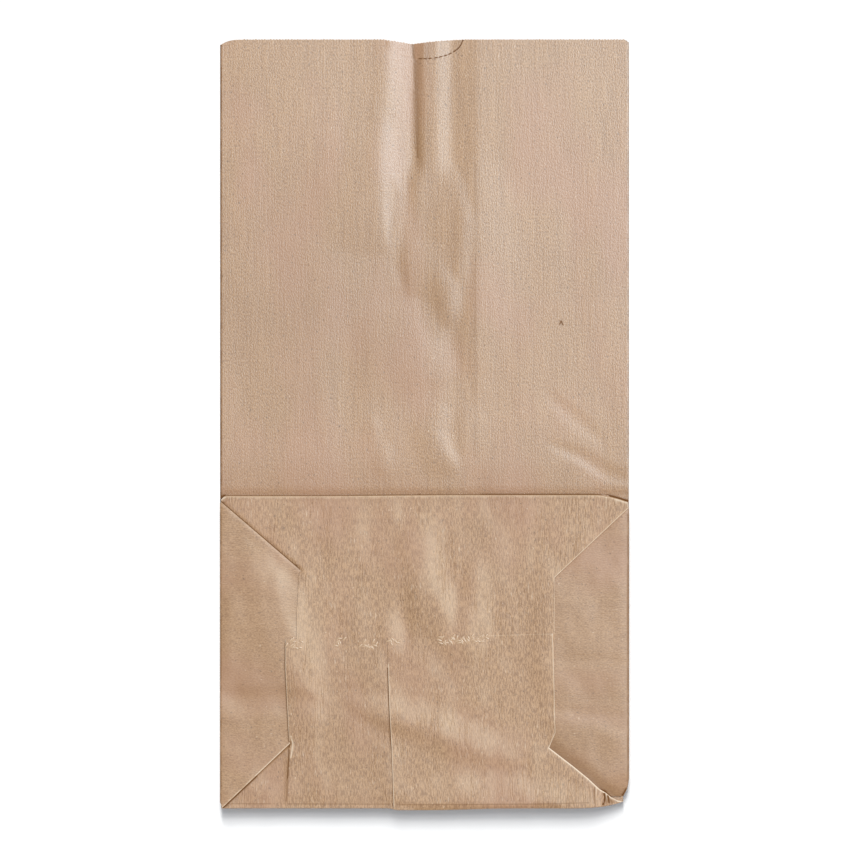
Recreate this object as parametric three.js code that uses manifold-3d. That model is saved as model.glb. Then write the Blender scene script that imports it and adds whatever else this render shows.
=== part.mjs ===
// Paper grocery bag with side gussets and a block bottom, folded flat and lying on its back panel.
// One sheet of kraft paper: every panel is a ply of its own, and half-round folds join ply to ply.
// Millimetres, +Z up. In plan, x runs across the bag and y from the bottom fold up to the mouth.

import * as THREE from 'three';
import { mergeVertices } from 'three/addons/utils/BufferGeometryUtils.js';
import Module from 'manifold-3d';

const wasm = await Module();
wasm.setup();

// The sheet, which a fold squeezes a little, and the springy stack that its plies lie in
const PAPER = 0.15;
const FOLD_SQUEEZE = 0.01;
const PLY_PITCH = 0.6;

// The folded bag
const WIDTH = 209.5;
const LENGTH = 394;
const GUSSET = 159;

// The bottom: two flaps whose tongues reach past the mitred corners
const FLAP_LENGTH = 88.5;
const FRONT_TONGUE_INSET = 39.5;
const FRONT_MITRE_RISE = 38.5;
const BACK_TONGUE_INSET = 36.5;
const BACK_MITRE_RISE = 31.5;

// The glued lap that closes the tube, down the back panel and over the back flap
const SEAM_FROM_LEFT = 87.5;
const LAP_WIDTH = 13;
const LAP_JOGGLE = 1.5;
const LAP_BOND = 0.05;
const SEAM_GAP = 0.4;

// The mouth: a thumb notch in the front ply, a dipped back edge and two rounded corners
const NOTCH_WIDTH = 40;
const NOTCH_DEPTH = 10;
const DIP_FROM_LEFT = 98;
const DIP_WIDTH = 36;
const DIP_DEPTH = 2.3;
const LEFT_CORNER_RUN = 6;
const LEFT_CORNER_DROP = 2.2;
const RIGHT_CORNER_RUN = 2;
const RIGHT_CORNER_DROP = 1.2;

// What the bag has taken: a groove pressed in from the mouth, buckles below it and two worn bottom corners
const GROOVE_FROM_LEFT = 98.4;
const GROOVE_LEFT_RUN = 14;
const GROOVE_RIGHT_RUN = 20;
const GROOVE_LENGTH = 105;
const GROOVE_DEPTH = 1.15;
const BUCKLES = [
  { fromLeft: 103, fromMouth: 133, width: 30, length: 84, depth: 0.6 },
  { fromLeft: 112, fromMouth: 202, width: 26, length: 58, depth: 0.5 },
];
const CRUSH_RUN = 18;
const CRUSH_RISE = 8;
const TURNDOWN_RUN = 15;
const TURNDOWN_DROP = 3.4;

// How far a fold runs into its plies and stops short of their corners, and what a cut takes beyond them
const FOLD_LEG = 1;
const FOLD_CLEARANCE = 0.5;
const CUT_MARGIN = 0.15;
const MOUTH_TRIM = 2;

// Facets
const FOLD_SEGMENTS = 6;
const CURVE_SEGMENTS = 12;
const PRESSED_COLUMNS = 22;
const PRESSED_ROWS = 34;
const PRESSED_CROWDING = 1.7;

// The plies from the table up
const BACK = 0;
const GUSSET_BACK = 1;
const GUSSET_FRONT = 2;
const FRONT = 3;
const FRONT_TURNED = 4;
const GUSSET_TURNED = 5;
const BOTTOM_TRIANGLE = 6;
const BOTTOM_SIDE = 7;
const EAR = 8;
const FRONT_FLAP = 9;
const BACK_FLAP = 10;

const HALF = WIDTH / 2;
const CREASE = HALF - GUSSET / 2;
const SEAM = SEAM_FROM_LEFT - HALF;
const SIDES = [-1, 1];
const UP = new THREE.Vector3(0, 0, 1);

/** Height of the middle of a ply. */
const level = (ply) => PAPER / 2 + ply * PLY_PITCH;

/** How far a fold between two plies stands out past the ends of their flats. */
const reach = (low, high) => ((high - low) * PLY_PITCH + PAPER) / 2;

// Where the flats of the plies end
const SIDE_FLAT = HALF - reach(BACK, GUSSET_BACK);
const CREASE_FLAT = CREASE + reach(GUSSET_BACK, GUSSET_FRONT);
const BOTTOM_FLAT = reach(BACK, BACK_FLAP);
const TURN_FLAT = GUSSET / 2 + reach(GUSSET_FRONT, GUSSET_TURNED);
const TOP_FLAT = GUSSET - reach(FRONT_TURNED, FRONT_FLAP);
const MOUTH_FLAT = LENGTH + MOUTH_TRIM;
const FOLD_MARGIN = FOLD_LEG + FOLD_CLEARANCE;
const FOLD_END = SIDE_FLAT - FOLD_CLEARANCE;

/** Closed solid of a three.js geometry, ready to be joined or cut. */
function solidOf(geometry) {
  geometry.deleteAttribute('normal');
  geometry.deleteAttribute('uv');
  const merged = mergeVertices(geometry);
  const vertProperties = new Float32Array(merged.attributes.position.array);
  const triVerts = new Uint32Array(merged.index.array);
  return new wasm.Manifold(new wasm.Mesh({ numProp: 3, vertProperties, triVerts }));
}

/** Mesh geometry of a finished solid. */
function geometryOf(solid) {
  const { vertProperties, triVerts } = solid.getMesh();
  const geometry = new THREE.BufferGeometry();
  geometry.setAttribute('position', new THREE.BufferAttribute(vertProperties, 3));
  geometry.setIndex(new THREE.BufferAttribute(triVerts, 1));
  geometry.computeVertexNormals();
  return geometry;
}

/** Upright prism of a plan outline between two heights. */
function prism(outline, low, high) {
  const settings = { depth: high - low, bevelEnabled: false, curveSegments: CURVE_SEGMENTS };
  return solidOf(new THREE.ExtrudeGeometry(outline, settings).translate(0, 0, low));
}

/** Flat panel of paper at a ply's height, from its corners in plan. */
function panel(corners, ply) {
  const outline = new THREE.Shape(corners.map(([x, y]) => new THREE.Vector2(x, y)));
  return prism(outline, level(ply) - PAPER / 2, level(ply) + PAPER / 2);
}

/** Section of a folded layer: two legs joined by a half round that bulges out to inset from the fold line. */
function foldSection(low, high, lowLeg, highLeg, inset, thickness) {
  const centre = reach(low, high);
  const outer = centre - inset;
  const inner = outer - thickness;
  const middle = (level(low) + level(high)) / 2;
  const section = new THREE.Shape();
  section.moveTo(centre + lowLeg, middle - outer);
  section.lineTo(centre, middle - outer);
  section.absarc(centre, middle, outer, -Math.PI / 2, Math.PI / 2, true);
  section.lineTo(centre + highLeg, middle + outer);
  section.lineTo(centre + highLeg, middle + inner);
  section.lineTo(centre, middle + inner);
  section.absarc(centre, middle, inner, Math.PI / 2, -Math.PI / 2, false);
  section.lineTo(centre + lowLeg, middle - inner);
  section.closePath();
  return section;
}

/** Fold section swept from one plan point to another; inward points from the fold line to the plies. */
function sweep(section, from, to, inward) {
  const normal = new THREE.Vector3(...inward, 0).normalize();
  const along = new THREE.Vector3().crossVectors(normal, UP);
  const start = new THREE.Vector3(...from, 0);
  const end = new THREE.Vector3(...to, 0);
  const forward = end.clone().sub(start).dot(along) > 0;
  const settings = { depth: start.distanceTo(end), bevelEnabled: false, curveSegments: FOLD_SEGMENTS };
  const geometry = new THREE.ExtrudeGeometry(section, settings);
  const place = new THREE.Matrix4().makeBasis(normal, UP, along).setPosition(forward ? start : end);
  return solidOf(geometry.applyMatrix4(place));
}

/** Half-round fold between two plies along a line in plan. */
function fold(low, high, from, to, inward) {
  const section = foldSection(low, high, FOLD_LEG, FOLD_LEG, FOLD_SQUEEZE, PAPER - 2 * FOLD_SQUEEZE);
  return sweep(section, from, to, inward);
}

/** Rounded hollow: 1 at its centre and 0 from its rim on, where distance is 1. */
const hollow = (distance) => (distance < 1 ? Math.cos((distance * Math.PI) / 2) ** 2 : 0);

/** How far the front panel is pressed down at a plan point, by the groove or by a buckle. */
function pressDepth(x, y) {
  const fromGroove = x + HALF - GROOVE_FROM_LEFT;
  const across = fromGroove < 0 ? -fromGroove / GROOVE_LEFT_RUN : fromGroove / GROOVE_RIGHT_RUN;
  const fade = THREE.MathUtils.smoothstep(y, LENGTH - GROOVE_LENGTH, LENGTH);
  const buckles = BUCKLES.map(({ fromLeft, fromMouth, width, length, depth }) => {
    const sideways = (x + HALF - fromLeft) / (width / 2);
    const lengthways = (LENGTH - y - fromMouth) / (length / 2);
    return depth * hollow(Math.hypot(sideways, lengthways));
  });
  return Math.max(GROOVE_DEPTH * hollow(across) * fade, ...buckles);
}

/** Front panel, with more columns of faces down its middle, where it has been pressed in. */
function makeFrontPanel() {
  const length = MOUTH_FLAT - TURN_FLAT;
  const geometry = new THREE.BoxGeometry(2 * SIDE_FLAT, length, PAPER, PRESSED_COLUMNS, PRESSED_ROWS, 1);
  geometry.translate(0, TURN_FLAT + length / 2, level(FRONT));
  const { position } = geometry.attributes;
  for (let i = 0; i < position.count; i += 1) {
    const column = position.getX(i) / SIDE_FLAT;
    const x = SIDE_FLAT * Math.sign(column) * Math.abs(column) ** PRESSED_CROWDING;
    position.setX(i, x);
    position.setZ(i, position.getZ(i) - pressDepth(x, position.getY(i)));
  }
  return solidOf(geometry);
}

/** Back panel, front panel and the part of the front panel that is turned up with the bottom. */
function makeMainPanels() {
  const across = (low, high) => [[-SIDE_FLAT, low], [SIDE_FLAT, low], [SIDE_FLAT, high], [-SIDE_FLAT, high]];
  const turnLine = TURN_FLAT - reach(FRONT, FRONT_TURNED);
  return [
    panel(across(BOTTOM_FLAT, MOUTH_FLAT), BACK),
    makeFrontPanel(),
    panel(across(TURN_FLAT, TOP_FLAT), FRONT_TURNED),
    fold(FRONT, FRONT_TURNED, [-FOLD_END, turnLine], [FOLD_END, turnLine], [0, 1]),
  ];
}

/** One side's gusset: two halves down the tube and the triangles that the block bottom folds them into. */
function makeGusset(side) {
  const onSide = (points) => points.map(([across, y]) => [side * across, y]);
  const lowerInset = reach(GUSSET_BACK, BOTTOM_TRIANGLE) * Math.SQRT2;
  const upperInset = reach(GUSSET_TURNED, BOTTOM_TRIANGLE) * Math.SQRT2;
  const lowerDiagonal = (across) => HALF - across + lowerInset;
  const upperDiagonal = (across) => GUSSET - HALF + across - upperInset;
  const bottomTip = lowerDiagonal(SIDE_FLAT);
  const topTip = upperDiagonal(SIDE_FLAT);
  const apex = CREASE + (lowerInset + upperInset) / 2;
  const turnedTip = CREASE + reach(GUSSET_FRONT, GUSSET_TURNED) + upperInset;
  const panels = [
    panel(onSide([[SIDE_FLAT, bottomTip], [SIDE_FLAT, MOUTH_FLAT], [CREASE_FLAT, MOUTH_FLAT],
      [CREASE_FLAT, lowerDiagonal(CREASE_FLAT)]]), GUSSET_BACK),
    panel(onSide([[SIDE_FLAT, TURN_FLAT], [SIDE_FLAT, MOUTH_FLAT], [CREASE_FLAT, MOUTH_FLAT],
      [CREASE_FLAT, TURN_FLAT]]), GUSSET_FRONT),
    panel(onSide([[SIDE_FLAT, TURN_FLAT], [SIDE_FLAT, topTip], [turnedTip, TURN_FLAT]]), GUSSET_TURNED),
    panel(onSide([[SIDE_FLAT, bottomTip], [SIDE_FLAT, topTip],
      [apex, lowerDiagonal(apex)]]), BOTTOM_TRIANGLE),
  ];
  const sideFold = (low, high, from, to) => (
    fold(low, high, ...onSide([[HALF, from], [HALF, to]]), [-side, 0])
  );
  const lowest = bottomTip + FOLD_MARGIN;
  const highest = topTip - FOLD_MARGIN;
  const sideFolds = [
    sideFold(BACK, GUSSET_BACK, lowest, MOUTH_FLAT),
    sideFold(GUSSET_FRONT, FRONT, TURN_FLAT + FOLD_CLEARANCE, MOUTH_FLAT),
    sideFold(FRONT_TURNED, GUSSET_TURNED, TURN_FLAT + FOLD_CLEARANCE, highest),
    sideFold(BOTTOM_TRIANGLE, BOTTOM_SIDE, lowest, highest),
  ];
  const creaseStart = Math.max(TURN_FLAT, lowerDiagonal(CREASE_FLAT)) + FOLD_CLEARANCE;
  const turnStart = turnedTip + FOLD_MARGIN;
  const lowerStart = BOTTOM_FLAT + FOLD_CLEARANCE;
  const lowerEnd = GUSSET / 2 - lowerInset;
  const upperStart = reach(FRONT_TURNED, FRONT_FLAP) + FOLD_MARGIN;
  const upperEnd = GUSSET / 2 - reach(GUSSET_FRONT, GUSSET_TURNED) - FOLD_MARGIN;
  const upperLine = [upperStart, upperEnd].map((run) => [HALF - run, GUSSET - run]);
  return [
    ...panels,
    ...sideFolds,
    fold(GUSSET_BACK, GUSSET_FRONT, ...onSide([[CREASE, creaseStart], [CREASE, MOUTH_FLAT]]), [side, 0]),
    fold(GUSSET_FRONT, GUSSET_TURNED,
      ...onSide([[turnStart, GUSSET / 2], [FOLD_END, GUSSET / 2]]), [0, 1]),
    fold(GUSSET_BACK, BOTTOM_TRIANGLE,
      ...onSide([lowerStart, lowerEnd].map((run) => [HALF - run, run])), [side, 1]),
    fold(GUSSET_TURNED, BOTTOM_TRIANGLE, ...onSide(upperLine), [side, -1]),
  ];
}

/** One side of the bottom: its end strip, folded in over the triangles. */
function makeBottomSide(side) {
  const low = BOTTOM_FLAT + reach(BOTTOM_SIDE, EAR);
  const high = TOP_FLAT - reach(BOTTOM_SIDE, EAR);
  const inner = HALF - FLAP_LENGTH;
  const corners = [[SIDE_FLAT, low], [SIDE_FLAT, high], [inner, high], [inner, low]];
  return panel(corners.map(([across, y]) => [side * across, y]), BOTTOM_SIDE);
}

/** A bottom flap with its hinge fold and, at each end, a mitre fold that carries on into an ear under it. */
function makeFlap({ ply, hinge, hingeLine, inset, rise, up }) {
  const place = ([u, v], side) => [side * (HALF - u), hingeLine + up * v];
  const flat = reach(hinge, ply);
  const earFlat = flat + reach(BOTTOM_SIDE, EAR);
  const mitreReach = reach(EAR, ply);
  const mitreInset = mitreReach * (Math.hypot(inset, rise) / inset);
  const tongueStart = rise - mitreInset;
  const mitreAt = (v) => (v + mitreInset) * (inset / rise);
  const half = [[mitreAt(flat), flat], [inset, tongueStart], [inset, FLAP_LENGTH]];
  const [left, right] = SIDES.map((side) => half.map((point) => place(point, side)));
  const outline = [...left, ...right.reverse()];
  const hingeEnds = SIDES.map((side) => [side * FOLD_END, hingeLine]);
  const pieces = [panel(outline, ply), fold(hinge, ply, ...hingeEnds, [0, up])];
  const ear = [[mitreAt(earFlat), earFlat], [FLAP_LENGTH, earFlat], [FLAP_LENGTH, tongueStart],
    [inset, tongueStart]];
  const earRoot = [[mitreAt(earFlat + FOLD_MARGIN), flat], [FLAP_LENGTH - FOLD_CLEARANCE, flat]];
  const mitre = [earFlat + mitreReach + 2 * FOLD_LEG, rise - FOLD_LEG].map((v) => [v * (inset / rise), v]);
  for (const side of SIDES) {
    const onSide = (points) => points.map((point) => place(point, side));
    pieces.push(panel(onSide(ear), EAR));
    pieces.push(fold(BOTTOM_SIDE, EAR, ...onSide(earRoot), [0, up]));
    pieces.push(fold(EAR, ply, ...onSide(mitre), [-side * rise, -up * inset]));
  }
  return pieces;
}

/** Profile of a layer down the back panel, round the bottom fold and along the back flap. */
function seamSection(flapEnd, inset, thickness) {
  return foldSection(BACK, BACK_FLAP, MOUTH_FLAT - BOTTOM_FLAT, flapEnd - BOTTOM_FLAT, inset, thickness);
}

/** Line along which the outer layer of the glued seam stops. */
function makeSeamCut() {
  const section = seamSection(FLAP_LENGTH + CUT_MARGIN, -CUT_MARGIN, PAPER + 2 * CUT_MARGIN);
  return sweep(section, [SEAM - SEAM_GAP, 0], [SEAM, 0], [0, 1]);
}

/** Inner layer of the glued seam, bonded to the inner face of the back panel and the back flap. */
function makeLap() {
  const section = seamSection(FLAP_LENGTH - FOLD_CLEARANCE, PAPER - LAP_BOND, PAPER);
  return sweep(section, [SEAM - SEAM_GAP - LAP_JOGGLE, 0], [SEAM + LAP_WIDTH, 0], [0, 1]);
}

/** What is trimmed off past the mouth. */
function makeMouthTrim(low, high) {
  const outline = new THREE.Shape();
  outline.moveTo(-WIDTH, LENGTH);
  outline.lineTo(WIDTH, LENGTH);
  outline.lineTo(WIDTH, MOUTH_FLAT + MOUTH_TRIM);
  outline.lineTo(-WIDTH, MOUTH_FLAT + MOUTH_TRIM);
  return prism(outline, low, high);
}

/** Elliptical bite out of the mouth edge between two heights. */
function makeBite(fromLeft, width, depth, low, high) {
  const outline = new THREE.Shape();
  outline.absellipse(fromLeft - HALF, LENGTH, width / 2, depth, 0, Math.PI * 2, false, 0);
  return prism(outline, low, high);
}

/** What lies outside a rounded corner, whose two edges the curve meets at run and at drop from the corner. */
function makeCornerCut([x, y], run, drop, low, high) {
  const outsideX = x - Math.sign(run) * CUT_MARGIN;
  const outsideY = y - Math.sign(drop) * CUT_MARGIN;
  const outline = new THREE.Shape();
  outline.moveTo(x + run, outsideY);
  outline.quadraticCurveTo(x, y, outsideX, y + drop);
  outline.lineTo(x - run, y + drop);
  outline.lineTo(x - run, y - drop);
  outline.lineTo(x + run, y - drop);
  outline.closePath();
  return prism(outline, low, high);
}

/** The whole folded sheet as one solid. */
function makeBag() {
  const flaps = [
    {
      ply: FRONT_FLAP, hinge: FRONT_TURNED, hingeLine: GUSSET, up: -1,
      inset: FRONT_TONGUE_INSET, rise: FRONT_MITRE_RISE,
    },
    {
      ply: BACK_FLAP, hinge: BACK, hingeLine: 0, up: 1,
      inset: BACK_TONGUE_INSET, rise: BACK_MITRE_RISE,
    },
  ];
  const plies = [
    ...makeMainPanels(),
    ...SIDES.flatMap(makeGusset),
    ...SIDES.map(makeBottomSide),
    ...flaps.flatMap(makeFlap),
  ];
  const under = level(BACK) - PLY_PITCH;
  const overBack = level(BACK) + PLY_PITCH / 2;
  const overFront = level(FRONT) + PLY_PITCH / 2;
  const over = level(BACK_FLAP) + PLY_PITCH;
  return plies
    .reduce((whole, piece) => whole.add(piece))
    .subtract(makeSeamCut())
    .add(makeLap())
    .subtract(makeMouthTrim(under, over))
    .subtract(makeBite(HALF, NOTCH_WIDTH, NOTCH_DEPTH, overBack, over))
    .subtract(makeBite(DIP_FROM_LEFT, DIP_WIDTH, DIP_DEPTH, under, overBack))
    .subtract(makeCornerCut([-HALF, LENGTH], LEFT_CORNER_RUN, -LEFT_CORNER_DROP, under, over))
    .subtract(makeCornerCut([HALF, LENGTH], -RIGHT_CORNER_RUN, -RIGHT_CORNER_DROP, under, over))
    .subtract(makeCornerCut([HALF, 0], -CRUSH_RUN, CRUSH_RISE, under, over))
    .subtract(makeCornerCut([HALF, GUSSET], -TURNDOWN_RUN, -TURNDOWN_DROP, overFront, over));
}

const kraftPaper = new THREE.MeshStandardMaterial({ color: 0xc3a48b, roughness: 0.72, metalness: 0 });

const paperBag = new THREE.Mesh(geometryOf(makeBag()), kraftPaper);
paperBag.name = 'paper_bag';
paperBag.position.y = -LENGTH / 2;

const bag = new THREE.Group();
bag.add(paperBag);

export default bag;
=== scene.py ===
"""Looks of a kraft paper grocery bag that lies folded flat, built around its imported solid.

The bag is one sheet of paper. Every panel is a ply with a height over the plan, and half-round folds join
ply to ply. Plan places are millimetres: x across the bag from its middle, and y from the bottom fold towards
the mouth.
"""

import logging
import math
from collections.abc import Callable, Sequence
from dataclasses import dataclass, field
from enum import Enum, IntEnum

import bmesh
import bpy
import numpy as np
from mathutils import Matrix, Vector
from mathutils.geometry import delaunay_2d_cdt


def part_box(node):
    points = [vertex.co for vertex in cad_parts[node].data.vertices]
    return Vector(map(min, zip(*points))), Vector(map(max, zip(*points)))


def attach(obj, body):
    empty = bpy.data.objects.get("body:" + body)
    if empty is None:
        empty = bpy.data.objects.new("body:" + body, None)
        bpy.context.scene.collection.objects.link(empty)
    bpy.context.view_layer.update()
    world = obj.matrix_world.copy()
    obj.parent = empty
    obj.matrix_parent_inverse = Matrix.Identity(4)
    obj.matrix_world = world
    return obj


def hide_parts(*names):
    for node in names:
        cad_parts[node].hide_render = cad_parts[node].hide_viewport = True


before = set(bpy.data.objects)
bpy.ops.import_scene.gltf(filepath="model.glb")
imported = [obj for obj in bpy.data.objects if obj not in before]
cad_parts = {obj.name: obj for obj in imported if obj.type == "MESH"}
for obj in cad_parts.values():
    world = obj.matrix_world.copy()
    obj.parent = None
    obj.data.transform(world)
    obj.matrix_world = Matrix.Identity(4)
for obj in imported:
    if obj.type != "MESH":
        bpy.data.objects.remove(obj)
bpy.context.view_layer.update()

MM = 0.001
NODE = "paper_bag"

# Strengths that a dark or pale line is kept between: below 0 it doesn't show
FAINTEST, FULLEST = -4.0, 2.0

# Lines up to this width get mesh points of their own, which keep this far from each other
THIN_LINE = 3.0
CROWDED = 0.3

FAR = 1e9

Plan = tuple[float, float]
Span = tuple[float, float]
Heights = Callable[[np.ndarray, np.ndarray], np.ndarray]
Colour = tuple[float, float, float]
Point = tuple[float, float, float]

log = logging.getLogger("paper_bag")


def rise(start: float, end: float, value: np.ndarray) -> np.ndarray:
    """Straight rise from 0 at start to 1 at end, either way round."""
    return np.clip((value - start) / (end - start), 0.0, 1.0)


def ramp(start: float, end: float, value: np.ndarray) -> np.ndarray:
    """Smooth rise from 0 at start to 1 at end, either way round."""
    share = rise(start, end, value)
    return share * share * (3.0 - 2.0 * share)


def crest(share: np.ndarray) -> np.ndarray:
    """Rounded hump: 1 where share is 0, and 0 from 1 on."""
    return np.cos(np.clip(share, 0.0, 1.0) * math.pi / 2) ** 2


def divide(start: Plan, end: Plan, step: float) -> list[Plan]:
    """Evenly spaced plan points of a straight line, both ends included.

    Args:
        start: First point.
        end: Last point.
        step: Greatest distance between neighbours.

    Returns:
        The points in order.
    """
    count = max(1, math.ceil(math.dist(start, end) / step))
    return [
        (start[0] + (end[0] - start[0]) * i / count, start[1] + (end[1] - start[1]) * i / count)
        for i in range(count + 1)
    ]


def polyline(corners: Sequence[Plan], step: float) -> list[Plan]:
    """Evenly divided line through several corners."""
    points = [corners[0]]
    for start, end in zip(corners, corners[1:]):
        points += divide(start, end, step)[1:]
    return points


def offset_line(line: Sequence[Plan], distance: float) -> list[Plan]:
    """Line moved sideways, to the left of its direction for a positive distance."""
    points = np.array(line, float)
    along = np.gradient(points, axis=0)
    along /= np.linalg.norm(along, axis=1)[:, None]
    moved = points + distance * np.stack([-along[:, 1], along[:, 0]], axis=1)
    return [(float(x), float(y)) for x, y in moved]


def first_from(line: Sequence[Plan], x: float) -> int:
    """Index of the first point, of a line drawn from left to right, that isn't left of x."""
    return next(i for i, point in enumerate(line) if point[0] >= x - 1e-6)


def walk(line: Sequence[Plan], x: np.ndarray, y: np.ndarray) -> tuple[np.ndarray, np.ndarray, float]:
    """Finds where plan places lie beside a line of straight stretches.

    Args:
        line: Corners of the line.
        x: Places across.
        y: Places along.

    Returns:
        Distances from the line, positive on the left of its direction; how far along the line they are,
        below 0 and above its length for places past its ends; and its length.
    """
    best = np.full(np.shape(x), FAR)
    across, along = np.zeros(np.shape(x)), np.zeros(np.shape(x))
    walked = 0.0
    last = len(line) - 2
    for i, ((ax, ay), (bx, by)) in enumerate(zip(line, line[1:])):
        length = math.dist((ax, ay), (bx, by))
        ux, uy = (bx - ax) / length, (by - ay) / length
        free = (x - ax) * ux + (y - ay) * uy
        held = np.clip(free, 0.0, length)
        gap = np.hypot(x - ax - held * ux, y - ay - held * uy)
        side = np.where(ux * (y - ay) - uy * (x - ax) < 0, -1.0, 1.0)
        nearer = gap < best
        across = np.where(nearer, side * gap, across)
        reached = np.clip(free, -FAR if i == 0 else 0.0, FAR if i == last else length)
        along = np.where(nearer, walked + reached, along)
        best = np.minimum(best, gap)
        walked += length
    return across, along, walked


class Flank(IntEnum):
    """Which side of a line something shows or lies on, looking along the line."""

    LEFT = 1
    BOTH = 0
    RIGHT = -1


def line_distance(line: Sequence[Plan], x: np.ndarray, y: np.ndarray,
                  past: Flank = Flank.BOTH) -> np.ndarray:
    """Signed distance from a line, positive on the left of its direction.

    Args:
        line: Corners of the line.
        x: Places across.
        y: Places along.
        past: Side that places past the ends of the line count for; with both, each keeps its own.

    Returns:
        Distances in millimetres.
    """
    across, along, length = walk(line, x, y)
    if past is Flank.BOTH:
        return across
    return np.where((along < 0.0) | (along > length), past * np.abs(across), across)


@dataclass(frozen=True)
class EdgeLine:
    """A line of painted shade or painted highlight beside an edge or along a crease, on one flank of it or
    on both.
    """

    line: tuple[Plan, ...]
    width: float
    depth: float
    flank: Flank = Flank.BOTH

    def strength(self, x: np.ndarray, y: np.ndarray) -> np.ndarray:
        """How strong it is: its depth at the line, less by 1 for each width away from it."""
        away = line_distance(self.line, x, y, self.flank)
        return self.depth - (self.flank * away if self.flank else np.abs(away)) / self.width

    def guides(self, step: float) -> list[Plan]:
        """Extra points along and beside a thin line, so that the mesh follows it."""
        if self.width > THIN_LINE:
            return []
        line = polyline(self.line, step)
        shares = [self.flank * share for share in (0.08, 0.6, 1.2)] if self.flank else (-1.0, 0.0, 1.0)
        return [point for share in shares for point in offset_line(line, share * self.width)]


def strongest(lines: Sequence[EdgeLine], x: np.ndarray, y: np.ndarray) -> np.ndarray:
    """Greatest strength of several lines at plan places."""
    return np.max([np.full(np.shape(x), FAINTEST)] + [line.strength(x, y) for line in lines], axis=0)


def line_points(lines: Sequence[EdgeLine], step: float, known: Sequence[Plan] = ()) -> list[Plan]:
    """Known points and the guide points of several lines, without those that crowd each other."""
    kept = list(known)
    for point in (point for line in lines for point in line.guides(step)):
        if all(math.dist(point, other) > CROWDED for other in kept):
            kept.append(point)
    return kept


@dataclass(frozen=True)
class LineWork:
    """Painted shade and painted highlights of a ply that shows.

    Shade lines are painted shade and worn and lit rims are painted highlights, with some wear. The fold
    shades are how dark the painted shade on the rims of its side folds is. Least is painted shade over the
    whole ply, less on the flanks of the swells that lean towards the light.
    """

    shade_lines: tuple[EdgeLine, ...]
    worn_and_lit_rims: tuple[EdgeLine, ...] = ()
    left_fold_shade: float = -1.0
    right_fold_shade: float = -1.0
    least: float = 0.0


class Form(Enum):
    """How the top of a mark is shaped."""

    ROUND = "round"
    CREASE = "crease"


@dataclass(frozen=True)
class Mark:
    """A ridge that stands up, or a dent of negative height, along a path in plan.

    Looking along the path, left and right are the widths of its two flanks. It grows from its ends, where it
    is low and narrow, to its middle.
    """

    path: tuple[Plan, ...]
    height: float
    left: float
    right: float
    form: Form = Form.ROUND
    end_width: float = 0.45
    end_height: float = 0.12

    def lift(self, x: np.ndarray, y: np.ndarray) -> np.ndarray:
        """Height that the mark adds at plan places.

        Args:
            x: Places across.
            y: Places along.

        Returns:
            Millimetres to add.
        """
        across, along, length = walk(self.path, x, y)
        growth = 1.0 - np.abs(2.0 * np.clip(along / length, 0.0, 1.0) - 1.0) ** 2.5
        width = np.where(across > 0, self.left, self.right)
        share = np.abs(across) / (width * (self.end_width + (1.0 - self.end_width) * growth))
        section = crest(share) if self.form is Form.ROUND else np.clip(1.0 - share, 0.0, 1.0) ** 2
        return self.height * (self.end_height + (1.0 - self.end_height) * growth) * section


def uneven(x: np.ndarray, y: np.ndarray, cell: Plan, seed: int) -> np.ndarray:
    """Smooth random number from -1 to 1 over the plan.

    Args:
        x: Places across.
        y: Places along.
        cell: Size of its cells in millimetres.
        seed: Which of the random patterns.

    Returns:
        Numbers of the places.
    """
    size = 128
    lattice = np.random.default_rng(seed).uniform(-1.0, 1.0, (size, size))
    column, row = np.asarray(x) / cell[0] + size, np.asarray(y) / cell[1] + size
    i, j = np.floor(column).astype(int), np.floor(row).astype(int)
    right, up = ramp(0.0, 1.0, column - i), ramp(0.0, 1.0, row - j)
    corner = {(a, b): lattice[(i + a) % size, (j + b) % size] for a in (0, 1) for b in (0, 1)}
    low = corner[0, 0] + (corner[1, 0] - corner[0, 0]) * right
    high = corner[0, 1] + (corner[1, 1] - corner[0, 1]) * right
    return low + (high - low) * up


def wander(x: np.ndarray, y: np.ndarray) -> tuple[np.ndarray, np.ndarray]:
    """Plan places moved a little, so that marks drawn as plain lines come out uneven."""
    reach, near, far = 1.4, 12.0, 15.0
    return x + reach * uneven(x, y, (near, far), 3), y + reach * uneven(x, y, (far, near), 4)


def grid_of_points(low: Plan, high: Plan, step: float) -> list[Plan]:
    """Even grid of plan points in a box, for a place that needs a finer mesh."""
    columns, rows = np.arange(low[0], high[0], step), np.arange(low[1], high[1], step)
    return [(float(x), float(y)) for y in rows for x in columns]


class Grain(Enum):
    """Which way the ribs of the paper run on a ply."""

    ALONG = "along"
    HANDLED = "along, on the flaps that glue and hands have dulled"
    ACROSS = "across"


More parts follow.
